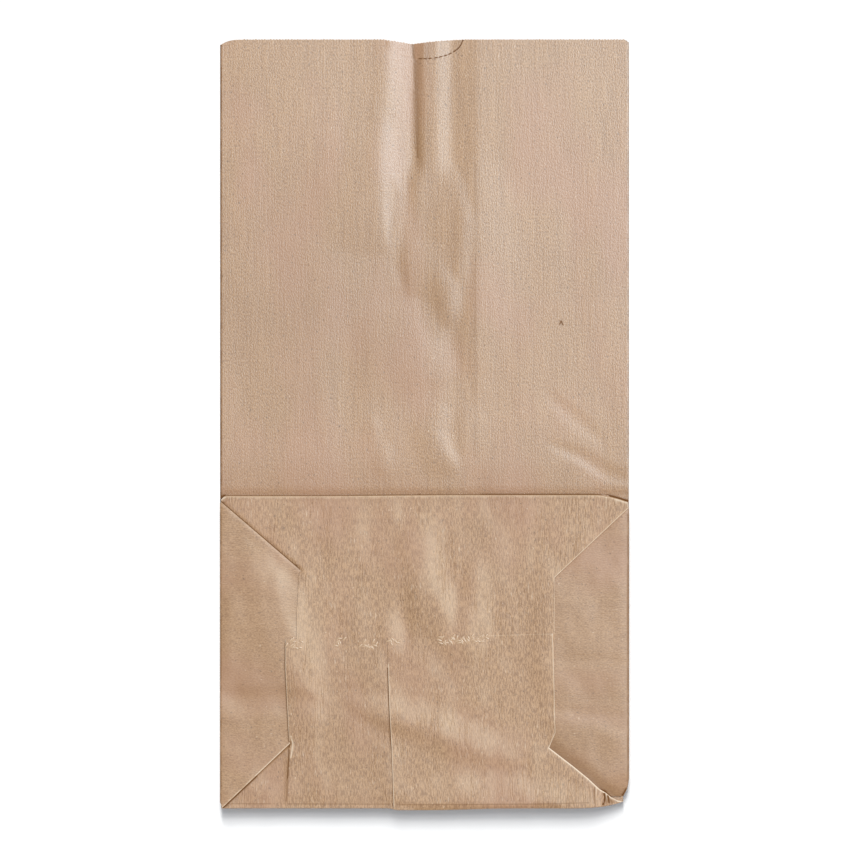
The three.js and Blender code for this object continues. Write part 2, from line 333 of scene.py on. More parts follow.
@dataclass
class SheetMesh:
    """Gathers plies and folds, in plan millimetres, and turns them into one mesh of paper."""

    points: list[np.ndarray] = field(default_factory=list)
    faces: list[tuple[int, ...]] = field(default_factory=list)
    grains: list[Grain] = field(default_factory=list)
    wear_and_highlight: list[np.ndarray] = field(default_factory=list)
    shade: list[np.ndarray] = field(default_factory=list)
    count: int = 0
    weld: float = 0.004
    sharp_angle: float = 50.0

    def add(self, points: np.ndarray, faces: Sequence[Sequence[int]], grain: Grain, wear_and_highlight: np.ndarray,
            shade: np.ndarray) -> None:
        """Takes in a patch of points and faces.

        Args:
            points: Rows of x, y, z.
            faces: Indices into points.
            grain: Direction of the ribs.
            wear_and_highlight: How worn each point is, with its painted highlight, from 0 to 1.
            shade: How dark the painted shade of a crevice is at each point; below 0 there is none.
        """
        self.points.append(points)
        self.faces += [tuple(i + self.count for i in face) for face in faces]
        self.grains += [grain] * len(faces)
        self.wear_and_highlight.append(wear_and_highlight)
        self.shade.append(shade)
        self.count += len(points)

    def add_ply(
        self,
        outline: Sequence[Plan],
        height: Heights,
        step: float,
        grain: Grain = Grain.ALONG,
        guides: Sequence[Plan] = (),
        finer: Heights | None = None,
        shade: Heights | None = None,
        worn_and_lit_rims: Sequence[EdgeLine] = (),
        flank_light: Heights | None = None,
    ) -> None:
        """Fills a closed outline with triangles that follow a height.

        Args:
            outline: Boundary points in order, already divided.
            height: Height over the plan.
            step: Distance between inner points.
            grain: Direction of the ribs.
            guides: More inner points, such as those beside a crease.
            finer: Where the full number of inner points is needed; elsewhere one in nine is kept.
            shade: Painted shade of crevices over the plan.
            worn_and_lit_rims: Painted highlights, with some wear, along its edges.
            flank_light: Painted highlight over the plan, on the flanks of swells that lean towards the
                light.
        """
        rim = np.array(outline, float)
        low, high = rim.min(0), rim.max(0)
        columns = np.arange(low[0] + step / 2, high[0], step)
        rows = np.arange(low[1] + step / 2, high[1], step)
        grid_x, grid_y = np.meshgrid(columns, rows)
        kept = np.ones(grid_x.shape, bool)
        if finer is not None:
            coarse = np.zeros(grid_x.shape, bool)
            coarse[1::3, 1::3] = True
            kept = finer(grid_x, grid_y) | coarse
        inner = np.stack([grid_x[kept], grid_y[kept]], axis=1)
        inner = self._clear_of(inner, rim, 0.45 * step)
        if len(guides):
            lines = self._clear_of(np.array(guides, float), rim, CROWDED)
            inner = np.concatenate([self._clear_of(inner, lines, 0.5 * step), lines])
        inner = inner[self._inside(inner, rim)]
        corners = [Vector(p) for p in np.concatenate([rim, inner])]
        edges = [(i, (i + 1) % len(rim)) for i in range(len(rim))]
        flat, _, faces, *_ = delaunay_2d_cdt(corners, edges, [], 1, 1e-6)
        plan = np.array([(p[0], p[1]) for p in flat], float)
        points = np.column_stack([plan, height(plan[:, 0], plan[:, 1])])
        dark = shade(plan[:, 0], plan[:, 1]) if shade else np.full(len(points), -1.0)
        pale = strongest(worn_and_lit_rims, plan[:, 0], plan[:, 1])
        pale = np.maximum(pale, flank_light(plan[:, 0], plan[:, 1])) if flank_light else pale
        self.add(points, faces, grain, *(np.clip(line, FAINTEST, FULLEST) for line in (pale, dark)))

    def add_rows(self, rows: Sequence[np.ndarray], grain: Grain, wear_and_highlight: Sequence[float],
                 shade: Sequence[float]) -> None:
        """Joins rows of as many points each into a strip.

        Args:
            rows: Arrays of x, y, z, from one edge of the strip to the other.
            grain: Direction of the ribs.
            wear_and_highlight: How worn each row is, with its painted highlight.
            shade: How dark the painted shade of each row is.
        """
        size = len(rows[0])
        faces = [
            (r * size + i, r * size + i + 1, (r + 1) * size + i + 1, (r + 1) * size + i)
            for r in range(len(rows) - 1)
            for i in range(size - 1)
        ]
        spread = [np.repeat(np.array(values, float), size) for values in (wear_and_highlight, shade)]
        self.add(np.concatenate(rows), faces, grain, *spread)

    @staticmethod
    def _clear_of(points: np.ndarray, others: np.ndarray, gap: float) -> np.ndarray:
        """Those points that are at least a gap away from all others."""
        if not len(points) or not len(others):
            return points
        near = [np.hypot(*(others - point).T).min() for point in points]
        return points[np.array(near) >= gap]

    @staticmethod
    def _inside(points: np.ndarray, rim: np.ndarray) -> np.ndarray:
        """Whether each point is inside a closed outline."""
        inside = np.zeros(len(points), bool)
        for (ax, ay), (bx, by) in zip(rim, np.roll(rim, -1, axis=0)):
            if ay == by:
                continue
            crosses = (ay > points[:, 1]) != (by > points[:, 1])
            inside ^= crosses & (points[:, 0] < ax + (points[:, 1] - ay) * (bx - ax) / (by - ay))
        return inside

    def build(self, name: str, thickness: float, shift_y: float) -> bpy.types.Object:
        """Welds the patches and gives the sheet its thickness.

        Args:
            name: Name of the object.
            thickness: Paper thickness in millimetres.
            shift_y: What is added to y to reach the row frame.

        Returns:
            A plain mesh object at the origin.
        """
        points = np.concatenate(self.points)
        points[:, 1] += shift_y
        mesh = bpy.data.meshes.new(name)
        mesh.from_pydata((points * MM).tolist(), [], self.faces)
        for name_of, values in (("fold_wear_and_highlight", self.wear_and_highlight), ("crevice_shade", self.shade)):
            layer = mesh.attributes.new(name_of, "FLOAT", "POINT")
            layer.data.foreach_set("value", np.concatenate(values).astype(np.float32))
        shares = {
            "ribbed": {Grain.ALONG: 1.0, Grain.HANDLED: 0.8, Grain.ACROSS: 0.25},
            "handled": {Grain.ALONG: 0.0, Grain.HANDLED: 1.0, Grain.ACROSS: 0.3},
        }
        for name_of, share in shares.items():
            layer = mesh.attributes.new(name_of, "FLOAT", "FACE")
            layer.data.foreach_set("value", [share[grain] for grain in self.grains])
        ribs = mesh.uv_layers.new(name="ribs")
        for face, grain in zip(mesh.polygons, self.grains):
            for loop in face.loop_indices:
                x, y, _ = mesh.vertices[mesh.loops[loop].vertex_index].co
                ribs.data[loop].uv = (y + 0.5, x) if grain is Grain.ACROSS else (x, y)
        sheet = bmesh.new()
        sheet.from_mesh(mesh)
        bmesh.ops.remove_doubles(sheet, verts=sheet.verts, dist=self.weld * MM)
        bmesh.ops.recalc_face_normals(sheet, faces=sheet.faces)
        sheet.to_mesh(mesh)
        sheet.free()
        thin = bpy.data.objects.new(name + "_thin", mesh)
        bpy.context.scene.collection.objects.link(thin)
        solidify = thin.modifiers.new("paper", "SOLIDIFY")
        solidify.thickness = thickness * MM
        solidify.offset = 0.0
        solidify.use_rim = True
        made = plain_copy(thin, name)
        made.data.set_sharp_from_angle(angle=math.radians(self.sharp_angle))
        return made


def plain_copy(source: bpy.types.Object, name: str) -> bpy.types.Object:
    """Turns an object with modifiers into a plain mesh object, and removes the first one.

    Args:
        source: The object whose evaluated mesh is kept.
        name: Name of the new object.

    Returns:
        The new object, linked to the scene.
    """
    graph = bpy.context.evaluated_depsgraph_get()
    mesh = bpy.data.meshes.new_from_object(source.evaluated_get(graph))
    mesh.name = name
    bpy.data.objects.remove(source)
    made = bpy.data.objects.new(name, mesh)
    bpy.context.scene.collection.objects.link(made)
    return made


class Ply(Enum):
    """The plies from the table up."""

    BACK = 0
    GUSSET_BACK = 1
    GUSSET_FRONT = 2
    FRONT = 3
    FRONT_TURNED = 4
    GUSSET_TURNED = 5
    BOTTOM_TRIANGLE = 6


class Side(IntEnum):
    """The two sides of the bag, as signs of x."""

    LEFT = -1
    RIGHT = 1


# Section of the pressed-in valley near the mouth: places across, and heights over the panel
GROOVE_X = (-36.0, -30.0, -25.0, -21.5, -7.4, -5.4, -4.4, -0.6, 3.0, 6.2, 13.0, 14.5, 26.0, 27.4, 40.0)
GROOVE_Z = (0.0, 0.0, 0.1, 0.08, -1.1, -1.2, -1.13, -0.45, -0.36, -0.26, -0.76, -0.74, -0.06, 0.0, 0.0)
GROOVE_BLUR = (-0.7, -0.35, 0.0, 0.35, 0.7)

# Buckles, swells and wrinkles of the front panel, from the mouth down
FRONT_MARKS = (
    Mark(((-19.0, 284.0), (-26.0, 312.0), (-23.0, 350.0)), 0.55, 40.0, 15.0),
    Mark(((-17.4, 290.0), (-17.0, 324.0)), -0.2, 4.0, 4.0),
    Mark(((9.0, 240.0), (15.5, 275.0), (17.5, 300.0), (15.0, 326.0)), 0.55, 20.0, 10.0),
    Mark(((-6.5, 262.0), (-8.0, 292.0)), 0.3, 7.0, 24.0),
    Mark(((13.5, 247.0), (8.0, 277.0)), 0.36, 9.0, 10.0),
    Mark(((6.0, 214.0), (-8.0, 238.0), (-13.0, 262.0)), 0.6, 40.0, 24.0),
    Mark(((16.5, 173.0), (8.0, 183.5), (5.2, 194.5), (10.0, 209.0)), 0.38, 16.0, 9.0),
    Mark(((21.0, 181.0), (21.5, 208.0)), 0.16, 6.0, 16.0),
    Mark(((-26.0, 186.0), (-27.0, 202.0)), 0.12, 5.0, 5.0),
    Mark(((-20.0, 169.0), (-21.0, 188.0)), 0.16, 8.0, 9.0),
    Mark(((26.9, 222.0), (26.9, 332.0)), 0.5, 18.0, 30.0),
    Mark(((62.0, 188.0), (85.0, 177.0), (110.0, 164.0)), -0.22, 7.0, 5.0),
    Mark(((62.0, 212.0), (78.0, 200.0), (92.0, 188.0)), -0.14, 7.0, 7.0),
)

# Swells and wrinkles of the turned-up bottom, and the crushed corner at its lower right
BLOCK_MARKS = (
    Mark(((-58.0, 36.0), (-62.0, 58.0), (-68.0, 84.0), (-76.0, 108.0), (-87.0, 130.0)), 1.15, 40.0, 19.0),
    Mark(((18.0, 78.0), (8.0, 98.0), (-3.0, 112.0), (-4.0, 130.0), (0.0, 152.0)), 0.95, 18.0, 20.0),
    Mark(((22.0, 74.0), (23.0, 100.0), (26.0, 128.0)), 0.65, 9.0, 15.0),
    Mark(((-10.0, 78.0), (-10.5, 118.0)), -0.42, 12.0, 6.0),
    Mark(((63.0, 48.0), (63.0, 134.0)), 0.6, 13.0, 60.0),
    Mark(((-38.0, 54.0), (-5.0, 43.5), (21.0, 33.0), (46.0, 25.0)), 0.95, 16.0, 12.0),
    Mark(((-16.0, 5.0), (30.0, 3.0), (90.0, 2.0)), 0.95, 17.0, 6.0),
    Mark(((-112.0, 57.0), (-80.0, 57.0), (-54.0, 54.0)), -0.55, 9.0, 14.0),
    Mark(((62.0, 77.0), (112.0, 76.0)), -0.12, 4.0, 6.0),
    Mark(((62.0, 51.0), (112.0, 48.0)), -0.12, 4.0, 6.0),
    Mark(((54.0, 50.0), (80.0, 42.0), (110.0, 31.0)), 0.35, 9.0, 16.0),
    Mark(((-53.5, 137.0), (-48.0, 110.0)), -0.16, 1.6, 2.2, Form.CREASE),
    Mark(((-44.8, 99.0), (-29.5, 76.0)), -0.16, 1.6, 2.2, Form.CREASE),
    Mark(((-70.6, 3.0), (-70.2, 12.0), (-69.0, 32.5)), 0.3, 0.9, 14.0, Form.CREASE),
    Mark(((87.4, 2.0), (87.0, 12.0)), 0.3, 0.7, 3.0, Form.CREASE),
    Mark(((91.3, 1.4), (92.0, 9.0)), -0.35, 1.6, 0.9, Form.CREASE),
    Mark(((93.4, 2.0), (93.0, 8.6)), 0.5, 0.8, 0.9, Form.CREASE),
    Mark(((96.8, 2.2), (95.2, 6.8)), 0.45, 1.3, 1.2, Form.CREASE),
    Mark(((100.2, 4.6), (103.6, 10.2)), 0.45, 0.7, 1.1, Form.CREASE),
)


@dataclass
class GroceryBag:
    """The folded sheet: sizes in millimetres, then what each ply and fold is made of."""

    width: float
    length: float
    paper: float = 0.15
    pitch: float = 0.6
    gusset: float = 159.0

    # Where the flats of its sides end, at the bottom fold and at the top fold
    wall_low: dict[Side, float] = field(default_factory=lambda: {Side.LEFT: 3.0, Side.RIGHT: 6.4})
    wall_high: dict[Side, float] = field(default_factory=lambda: {Side.LEFT: 156.4, Side.RIGHT: 153.6})

    # How dark the painted shade on the side folds is, on the front panel and on the end strips, and how far
    # it reaches in
    front_fold_shade: dict[Side, float] = field(default_factory=lambda: {Side.LEFT: 0.62, Side.RIGHT: 0.36})
    strip_fold_shade: dict[Side, float] = field(default_factory=lambda: {Side.LEFT: 0.25, Side.RIGHT: 0.5})
    edge_run: float = 1.2

    # How fine the mesh is on plies that show, on hidden ones, along the mouth and along folds
    fine: float = 1.8
    coarse: float = 7.0
    mouth_step: float = 0.8
    fold_step: float = 3.0
    fold_segments: int = 6

    # The mouth: the thumb notch, the dip in the back edge, and the run and drop of its two corners
    notch_centre: float = -0.3
    notch_width: float = 40.0
    notch_depth: float = 10.0
    dip_at: float = -6.8
    dip_depth: float = 2.3
    dip_left: float = 18.0
    dip_right: float = 27.0
    left_corner: Plan = (11.0, 2.6)
    right_corner: Plan = (2.0, 1.2)

    # The front panel: how far its middle sinks, how it is held down at the top fold, and how it cockles
    sunk: float = 0.42
    held_down: float = 0.3
    pinched: float = 0.25
    cockle: float = 0.09

    # The valley pressed in from the mouth: where it ends on both sides of its bottom, and how far it bends
    valley_end_left: Span = (292.0, 338.0)
    valley_end_right: Span = (318.0, 336.0)
    valley_bottom: Span = (-10.0, -3.0)
    valley_bend: float = 3.5

    # The turned-up bottom: how high its top lies, how it falls off to the side folds, and its worn corner
    block_top: float = 5.75
    side_drop: float = 0.25
    side_run: float = 5.0
    under_flap: float = 0.32
    worn_corner: Plan = (104.0, 1.5)
    worn_drop: float = 2.0
    worn_run: float = 20.0
    worn_side: tuple[Plan, ...] = ((101.6, 6.4), (103.5, 10.4))
    worn_top: float = 15.0

    # Height of its fine and finest swells, and how deep the corners of the flaps are tucked under
    swell_fine: float = 0.15
    swell_finest: float = 0.05
    tuck: float = 0.4
    tuck_inner: float = 0.3

    # Its top fold lies past the gusset's depth, rises to the right and has both ends turned down
    top_past: float = 1.3
    top_rise: float = 0.5
    top_rising: Span = (-60.0, 20.0)
    top_right_drop: float = 3.7
    top_right_end: Span = (88.0, 104.0)
    top_left_drop: float = 2.4
    top_left_end: Span = (-101.5, -104.5)

    # Its bottom fold is pushed out at the seam and worn away at the right corner
    seam_push: float = 0.9
    seam_push_left: Span = (-19.0, -13.5)
    seam_push_right: Span = (45.0, 0.0)
    worn_away: float = 4.4
    worn_away_from: Span = (70.0, 104.0)
    bottom_end: float = 102.0

    # How far both folds stand out past the flats, less where their ends are squashed
    top_bulge: float = 0.5
    bottom_bulge: float = 0.6
    squashed: float = 0.1
    corner_gap: float = 0.3

    # Mitres, tongues and the glued seam, as the photo shows them
    mitre_top_left: tuple[Plan, ...] = ((-104.2, 157.0), (-64.1, 122.5))
    mitre_bottom_left: tuple[Plan, ...] = ((-103.6, 0.7), (-69.2, 33.3))
    mitre_top_right: tuple[Plan, ...] = ((104.0, 153.8), (66.6, 118.6))
    mitre_bottom_right: tuple[Plan, ...] = (
        (63.7, 31.2), (76.4, 21.4), (83.5, 15.6), (86.6, 12.7), (89.5, 10.0), (92.8, 8.0), (95.8, 5.5),
        (99.2, 3.9), (101.6, 3.7),
    )
    mitre_middle: Plan = (-86.4, 17.0)
    front_tongue: tuple[Plan, ...] = (
        (66.6, 118.6), (66.5, 70.5), (-65.4, 70.5), (-65.4, 100.0), (-64.1, 122.5),
    )
    back_tongue_left: tuple[Plan, ...] = (
        (-69.2, 33.3), (-69.9, 46.0), (-70.4, 55.0), (-71.2, 72.0), (-71.1, 87.0),
    )
    cut_end: tuple[Plan, ...] = ((-71.1, 87.0), (-18.9, 87.6), (20.0, 88.4), (44.0, 89.2), (65.6, 89.8))
    back_tongue_right: tuple[Plan, ...] = ((65.6, 89.8), (66.3, 67.0), (67.0, 39.0), (63.7, 31.2))
    seam: tuple[Plan, ...] = (
        (-15.8, 1.1), (-16.2, 14.0), (-16.8, 31.0), (-17.8, 48.5), (-18.4, 65.0), (-18.9, 87.6),
    )
    back_seam_x: float = -15.8
    lap_width: float = 9.0
    lap_rise: float = 0.16
    seam_rise: float = 0.2
    seam_sink: float = 0.06

    sheet: SheetMesh = field(default_factory=SheetMesh)

    def __post_init__(self) -> None:
        """Works out where the flats of the plies end, and where the top fold runs."""
        self.half = self.width / 2
        self.crease = self.half - self.gusset / 2
        self.side = self.half - self.reach(Ply.BACK, Ply.GUSSET_BACK)
        self.crease_flat = self.crease + self.reach(Ply.GUSSET_BACK, Ply.GUSSET_FRONT)
        self.turn = self.gusset / 2 + self.reach(Ply.GUSSET_FRONT, Ply.GUSSET_TURNED)
        over_x = np.linspace(-self.half, self.half, 60)
        self.hinge: tuple[Plan, ...] = tuple(zip(over_x.tolist(), self.top_y(over_x).tolist()))

    # The lines below are painted shade and painted highlights
    # Dark and pale lines, as the photo shows them

    def hinge_from(self, x: float) -> tuple[Plan, ...]:
        """The part of the top fold that lies right of a place."""
        return tuple(point for point in self.hinge if point[0] > x)

    def front_lines(self) -> LineWork:
        """Lines of the front panel."""
        return LineWork(
            shade_lines=(
                # Painted shade in the gap beside the top fold, darkest at its right end, and a soft painted
                # shade past it
                EdgeLine(self.hinge, 0.75, 0.66, Flank.LEFT),
                EdgeLine(self.hinge_from(30.0), 0.75, 0.95, Flank.LEFT),
                EdgeLine(self.hinge_from(91.0), 1.2, 1.2, Flank.LEFT),
                EdgeLine(self.hinge, 60.0, 0.14, Flank.LEFT),
                EdgeLine(self.hinge, 500.0, 0.08, Flank.LEFT),
                EdgeLine(((-104.4, 158.4), (-102.7, 160.1)), 1.2, 1.2),
                # Painted shade in the pressed-in valley, and along the edge of the right gusset under the
                # panel
                EdgeLine(((-3.6, 334.0), (-4.2, 362.0), (-5.6, 394.0)), 2.6, 0.3),
                EdgeLine(((-2.8, 330.0), (-3.2, 394.0)), 22.0, 0.15),
                EdgeLine(((26.1, 180.0), (26.1, 330.0)), 1.4, 0.12),
                # The small caret-shaped mark
                EdgeLine(((69.3, 248.0), (70.0, 250.0), (70.9, 247.8)), 0.6, 0.85),
                # The darker middles of both halves
                EdgeLine(((-80.0, 252.0), (-30.0, 262.0)), 900.0, 0.1),
                EdgeLine(((50.0, 250.0), (90.0, 268.0)), 900.0, 0.05),
            ),
            left_fold_shade=0.36,
            right_fold_shade=0.12,
        )

    def back_lines(self) -> LineWork:
        """Painted shade on the back panel in the notch: the broken shadow of the cut, and the valley."""
        notch = self.mouth_line(-self.notch_width / 2, self.notch_width / 2, self.notch)
        dashes = [notch[i: i + 2] for i in (-29, -26, -23, -19, -16, -13, -10, -7)]
        return LineWork(
            shade_lines=(
                EdgeLine(tuple(notch[-6:]), 0.9, 1.0, Flank.LEFT),
                *(EdgeLine(tuple(dash), 1.0, 1.0, Flank.LEFT) for dash in dashes),
                EdgeLine(((-5.4, 382.0), (-6.2, 394.0)), 2.6, 0.4),
                EdgeLine(((1.0, 380.0), (1.0, 394.0)), 40.0, 0.11),
            ),
        )

    def front_flap_lines(self) -> LineWork:
        """Painted shade and highlights of the upper flap: shade at its tucked corner, highlights on its
        edges and the nick in its top fold.
        """
        return LineWork(
            shade_lines=(
                EdgeLine(self.mitre_top_left, 0.6, 1.2, Flank.LEFT),
                EdgeLine(self.hinge, 60.0, 0.1, Flank.RIGHT),
            ),
            worn_and_lit_rims=(
                EdgeLine(self.mitre_top_right, 0.85, 0.62, Flank.RIGHT),
                EdgeLine(((66.6, 118.6), (66.5, 89.0)), 0.6, 0.5, Flank.RIGHT),
                EdgeLine(self.hinge, 1.6, 0.82, Flank.RIGHT),
                EdgeLine(self.hinge_from(95.0), 1.8, 1.05, Flank.RIGHT),
                EdgeLine(((93.0, 158.8), (92.9, 153.8)), 0.6, 0.45),
            ),
            least=0.02,
        )

    def left_flap_lines(self) -> LineWork:
        """Painted shade and highlights of the lower flap left of the seam: its tucked corner, the seam, a
        crease and its tongue.
        """
        seam = (*self.seam[:-1], (-18.6, 72.0))
        return LineWork(
            shade_lines=(
                EdgeLine(self.mitre_bottom_left, 1.2, 0.8, Flank.RIGHT),
                EdgeLine((self.mitre_bottom_left[0], self.mitre_middle), 1.0, 1.3, Flank.RIGHT),
                EdgeLine(seam, 0.75, 0.72, Flank.LEFT),
                EdgeLine(seam[2:], 0.75, 1.0, Flank.LEFT),
                EdgeLine(((-70.0, 16.0), (-69.2, 32.0)), 0.6, 0.7),
                EdgeLine(((-70.5, 5.0), (-70.0, 16.0)), 0.8, 0.3),
                EdgeLine(((-104.0, 2.7), (-16.0, 2.4)), 0.5, 0.28),
            ),
            worn_and_lit_rims=(
                EdgeLine(self.back_tongue_left, 0.9, 0.62, Flank.RIGHT),
                EdgeLine(((-68.2, 37.0), (-67.4, 33.6), (-67.7, 30.0), (-68.4, 26.5)), 0.8, 0.7),
            ),
            least=0.05,
        )

    def right_flap_lines(self) -> LineWork:
        """Painted shade and highlights of the lower flap right of the seam: its edges and the folds of its
        crushed corner.
        """
        return LineWork(
            shade_lines=(
                EdgeLine(((-14.0, 2.2), (60.0, 2.6), (84.0, 3.2)), 0.5, 0.28),
                EdgeLine(((87.0, 11.2), (87.2, 3.0)), 0.8, 0.45),
                EdgeLine(((91.9, 8.2), (92.3, 5.9), (91.4, 1.8)), 0.9, 0.95),
                EdgeLine(((93.9, 6.6), (94.5, 3.2)), 0.8, 0.95),
                EdgeLine(((93.0, 4.5), (98.0, 3.4)), 9.0, 0.26),
            ),
            worn_and_lit_rims=(
                EdgeLine(self.mitre_bottom_right, 1.0, 0.85, Flank.RIGHT),
                EdgeLine(self.back_tongue_right, 1.0, 0.7, Flank.RIGHT),
                EdgeLine((*self.seam[:-1], (-18.6, 74.0)), 1.0, 0.68, Flank.RIGHT),
                EdgeLine(((30.0, 88.7), *self.cut_end[-2:]), 1.3, 0.4, Flank.RIGHT),
                EdgeLine(((93.0, 8.0), (93.4, 4.2)), 0.6, 0.8),
                EdgeLine(((88.0, 11.0), (88.2, 3.4)), 0.7, 0.5),
            ),
            least=0.02,
        )

    def left_strip_lines(self) -> LineWork:
        """Painted shade and highlights of the left end strip: the painted shadows of the tongues, and
        highlights on its mitres.
        """
        return LineWork(
            shade_lines=(
                EdgeLine((self.mitre_top_left[1], (-65.4, 100.0), (-65.4, 88.0)), 0.5, 0.16, Flank.RIGHT),
                EdgeLine((*self.back_tongue_left[:-1], (-71.1, 85.0)), 0.75, 0.9, Flank.LEFT),
            ),
            worn_and_lit_rims=(
                EdgeLine(self.mitre_top_left, 2.4, 0.12, Flank.RIGHT),
                EdgeLine(self.mitre_bottom_left, 1.2, 0.4, Flank.LEFT),
                EdgeLine((self.mitre_middle, self.mitre_bottom_left[1]), 1.0, 0.75, Flank.LEFT),
            ),
            left_fold_shade=0.06,
            least=0.05,
        )

    def right_strip_lines(self) -> LineWork:
        """Painted shade and highlights of the right end strip: the painted shadows of the flaps, and
        highlights on its side fold.
        """
        return LineWork(
            shade_lines=(
                EdgeLine(self.mitre_top_right, 1.2, 0.4, Flank.LEFT),
                EdgeLine((self.mitre_top_right[1], *self.back_tongue_right), 0.6, 0.3, Flank.LEFT),
                EdgeLine(self.mitre_bottom_right, 34.0, 0.3, Flank.LEFT),
                EdgeLine(self.mitre_bottom_right[4:], 1.3, 1.0, Flank.LEFT),
                EdgeLine(((103.3, 10.0), (100.4, 4.8)), 0.9, 1.0),
            ),
            worn_and_lit_rims=(
                EdgeLine(((103.2, 14.0), (103.4, 60.0), (103.4, 152.0)), 0.7, 0.4),
                EdgeLine(((103.9, 9.2), (101.4, 4.8)), 0.7, 0.8),
            ),
            right_fold_shade=0.34,
            least=0.07,
        )

    def darkness(self, lines: LineWork) -> Heights:
        """Painted shade of a ply: in its crevices, on the rims of its side folds, and more where it doesn't
        lean to the light.

        Args:
            lines: Lines of the ply.

        Returns:
            Darkness over the plan.
        """
        def shade(x: np.ndarray, y: np.ndarray) -> np.ndarray:
            """Darkness at plan places."""
            left = lines.left_fold_shade - (x + self.side) / self.edge_run
            right = lines.right_fold_shade - (self.side - x) / self.edge_run
            dark = np.maximum(np.maximum(left, right), strongest(lines.shade_lines, x, y))
            return np.maximum(dark, lines.least * (1.0 - self.leaning(x, y))) if lines.least else dark
        return shade

    # Levels of the plies

    def level(self, ply: Ply) -> float:
        """Height of the middle of a flat ply."""
        return self.paper / 2 + ply.value * self.pitch

    def flat(self, ply: Ply) -> Heights:
        """Height function of a flat ply."""
        return lambda x, y: np.full(np.shape(x), self.level(ply))

    def reach(self, low: Ply, high: Ply) -> float:
        """How far a fold stands out past the flats of its plies."""
        return ((high.value - low.value) * self.pitch + self.paper) / 2

    # Outlines

    def mouth_y(self, x: np.ndarray) -> np.ndarray:
        """The mouth edge that all plies share: straight, with two rounded corners."""
        from_left = np.clip(1.0 - (x + self.side) / self.left_corner[0], 0.0, 1.0)
        from_right = np.clip(1.0 - (self.side - x) / self.right_corner[0], 0.0, 1.0)
        drop = self.left_corner[1] * from_left**3 + self.right_corner[1] * from_right**2
        return self.length - drop

    def mouth_line(self, start: float, end: float, cut: Callable[[np.ndarray], np.ndarray]) -> list[Plan]:
        """Mouth edge from one x to another, lowered by a cut."""
        count = math.ceil(abs(end - start) / self.mouth_step)
        x = np.linspace(start, end, count + 1)
        return list(zip(x.tolist(), (self.mouth_y(x) - cut(x)).tolist()))

    def notch(self, x: np.ndarray) -> np.ndarray:
        """Depth of the thumb notch in the front ply."""
        share = (x - self.notch_centre) / (self.notch_width / 2)
        return self.notch_depth * np.sqrt(np.clip(1.0 - share * share, 0.0, 1.0))

    def dip(self, x: np.ndarray) -> np.ndarray:
        """Depth of the dip in the back ply's edge."""
        run = np.where(x < self.dip_at, self.dip_left, self.dip_right)
        return self.dip_depth * np.clip(1.0 - np.abs(x - self.dip_at) / run, 0.0, 1.0) ** 1.5

    def top_y(self, x: np.ndarray) -> np.ndarray:
        """Top fold of the turned-up bottom, whose ends are turned down."""
        right = rise(*self.top_right_end, x) ** 1.6
        left = rise(*self.top_left_end, x) ** 2
        turned = self.top_right_drop * right + self.top_left_drop * left
        return self.gusset + self.top_past + self.top_rise * ramp(*self.top_rising, x) - turned

    def top_inset(self, x: np.ndarray) -> np.ndarray:
        """How far the flats end before the top fold."""
        return self.top_bulge - self.squashed * ramp(96.0, 104.0, np.abs(x))

    def bottom_y(self, x: np.ndarray) -> np.ndarray:
        """Bottom fold: pushed out by the seam's double paper and worn away at the right corner."""
        seam = self.seam_push * ramp(*self.seam_push_left, x) * ramp(*self.seam_push_right, x)
        return self.worn_away * rise(*self.worn_away_from, x) ** 3.4 - seam

    def bottom_inset(self, x: np.ndarray) -> np.ndarray:
        """How far the flats end before the bottom fold."""
        ends = ramp(84.0, 102.0, x) + ramp(-96.0, -104.0, x)
        return self.bottom_bulge - self.squashed * ends

    def top_line(self) -> list[Plan]:
        """Where the flats end along the top fold."""
        end = self.side - self.corner_gap
        x = np.linspace(-end, end, 160)
        return list(zip(x.tolist(), (self.top_y(x) - self.top_inset(x)).tolist()))

    def bottom_line(self) -> list[Plan]:
        """Where the flats end along the bottom fold, with a point at the seam."""
        left = np.linspace(-self.side + self.corner_gap, self.back_seam_x, 70)
        right = np.linspace(self.back_seam_x, self.bottom_end, 90)[1:]
        x = np.concatenate([left, right])
        return list(zip(x.tolist(), (self.bottom_y(x) + self.bottom_inset(x)).tolist()))

    def side_line(self, side: Side, low: float, high: float) -> list[Plan]:
        """Where the flats end along a side fold; the lower right corner is worn off."""
        if side is Side.RIGHT and low <= self.wall_low[side]:
            corners = [*self.worn_side, (self.side, self.worn_top), (self.side, high)]
            return polyline(corners, self.fold_step)
        return divide((side * self.side, low), (side * self.side, high), self.fold_step)

    # Heights

    def front_height(self, x: np.ndarray, y: np.ndarray) -> np.ndarray:
        """Front panel: sunk between the gussets, pressed in from the mouth and buckled below."""
        pressed = self.pressed(x, y)
        sunk = self.channel(x, y) * (1.0 - pressed) + self.groove(x, y) * pressed
        cockle = self.cockle * uneven(x, y, (13.0, 70.0), 8)
        level = self.level(Ply.FRONT) + sunk + cockle + self.relief(FRONT_MARKS, x, y)
        down = self.held_down * ramp(178.0, 158.0, y) + self.pinched * ramp(164.4, 160.2, y)
        return level - down * ramp(80.0, 90.0, y)

    @staticmethod
    def relief(marks: Sequence[Mark], x: np.ndarray, y: np.ndarray) -> np.ndarray:
        """Sum of marks, the soft ones a little uneven."""
        moved = wander(x, y)
        return sum(mark.lift(*(moved if mark.form is Form.ROUND else (x, y))) for mark in marks)

    def channel(self, x: np.ndarray, y: np.ndarray) -> np.ndarray:
        """The panel sinks where no gusset lies under it."""
        depth = self.sunk * ramp(178.0, 250.0, y)
        left = ramp(-66.0, -12.0, x)
        right = 0.5 * ramp(25.8, 14.0, x) + 0.2 * ramp(26.5, 25.4, x) + 0.3 * ramp(14.0, -8.0, x)
        return -depth * left * right

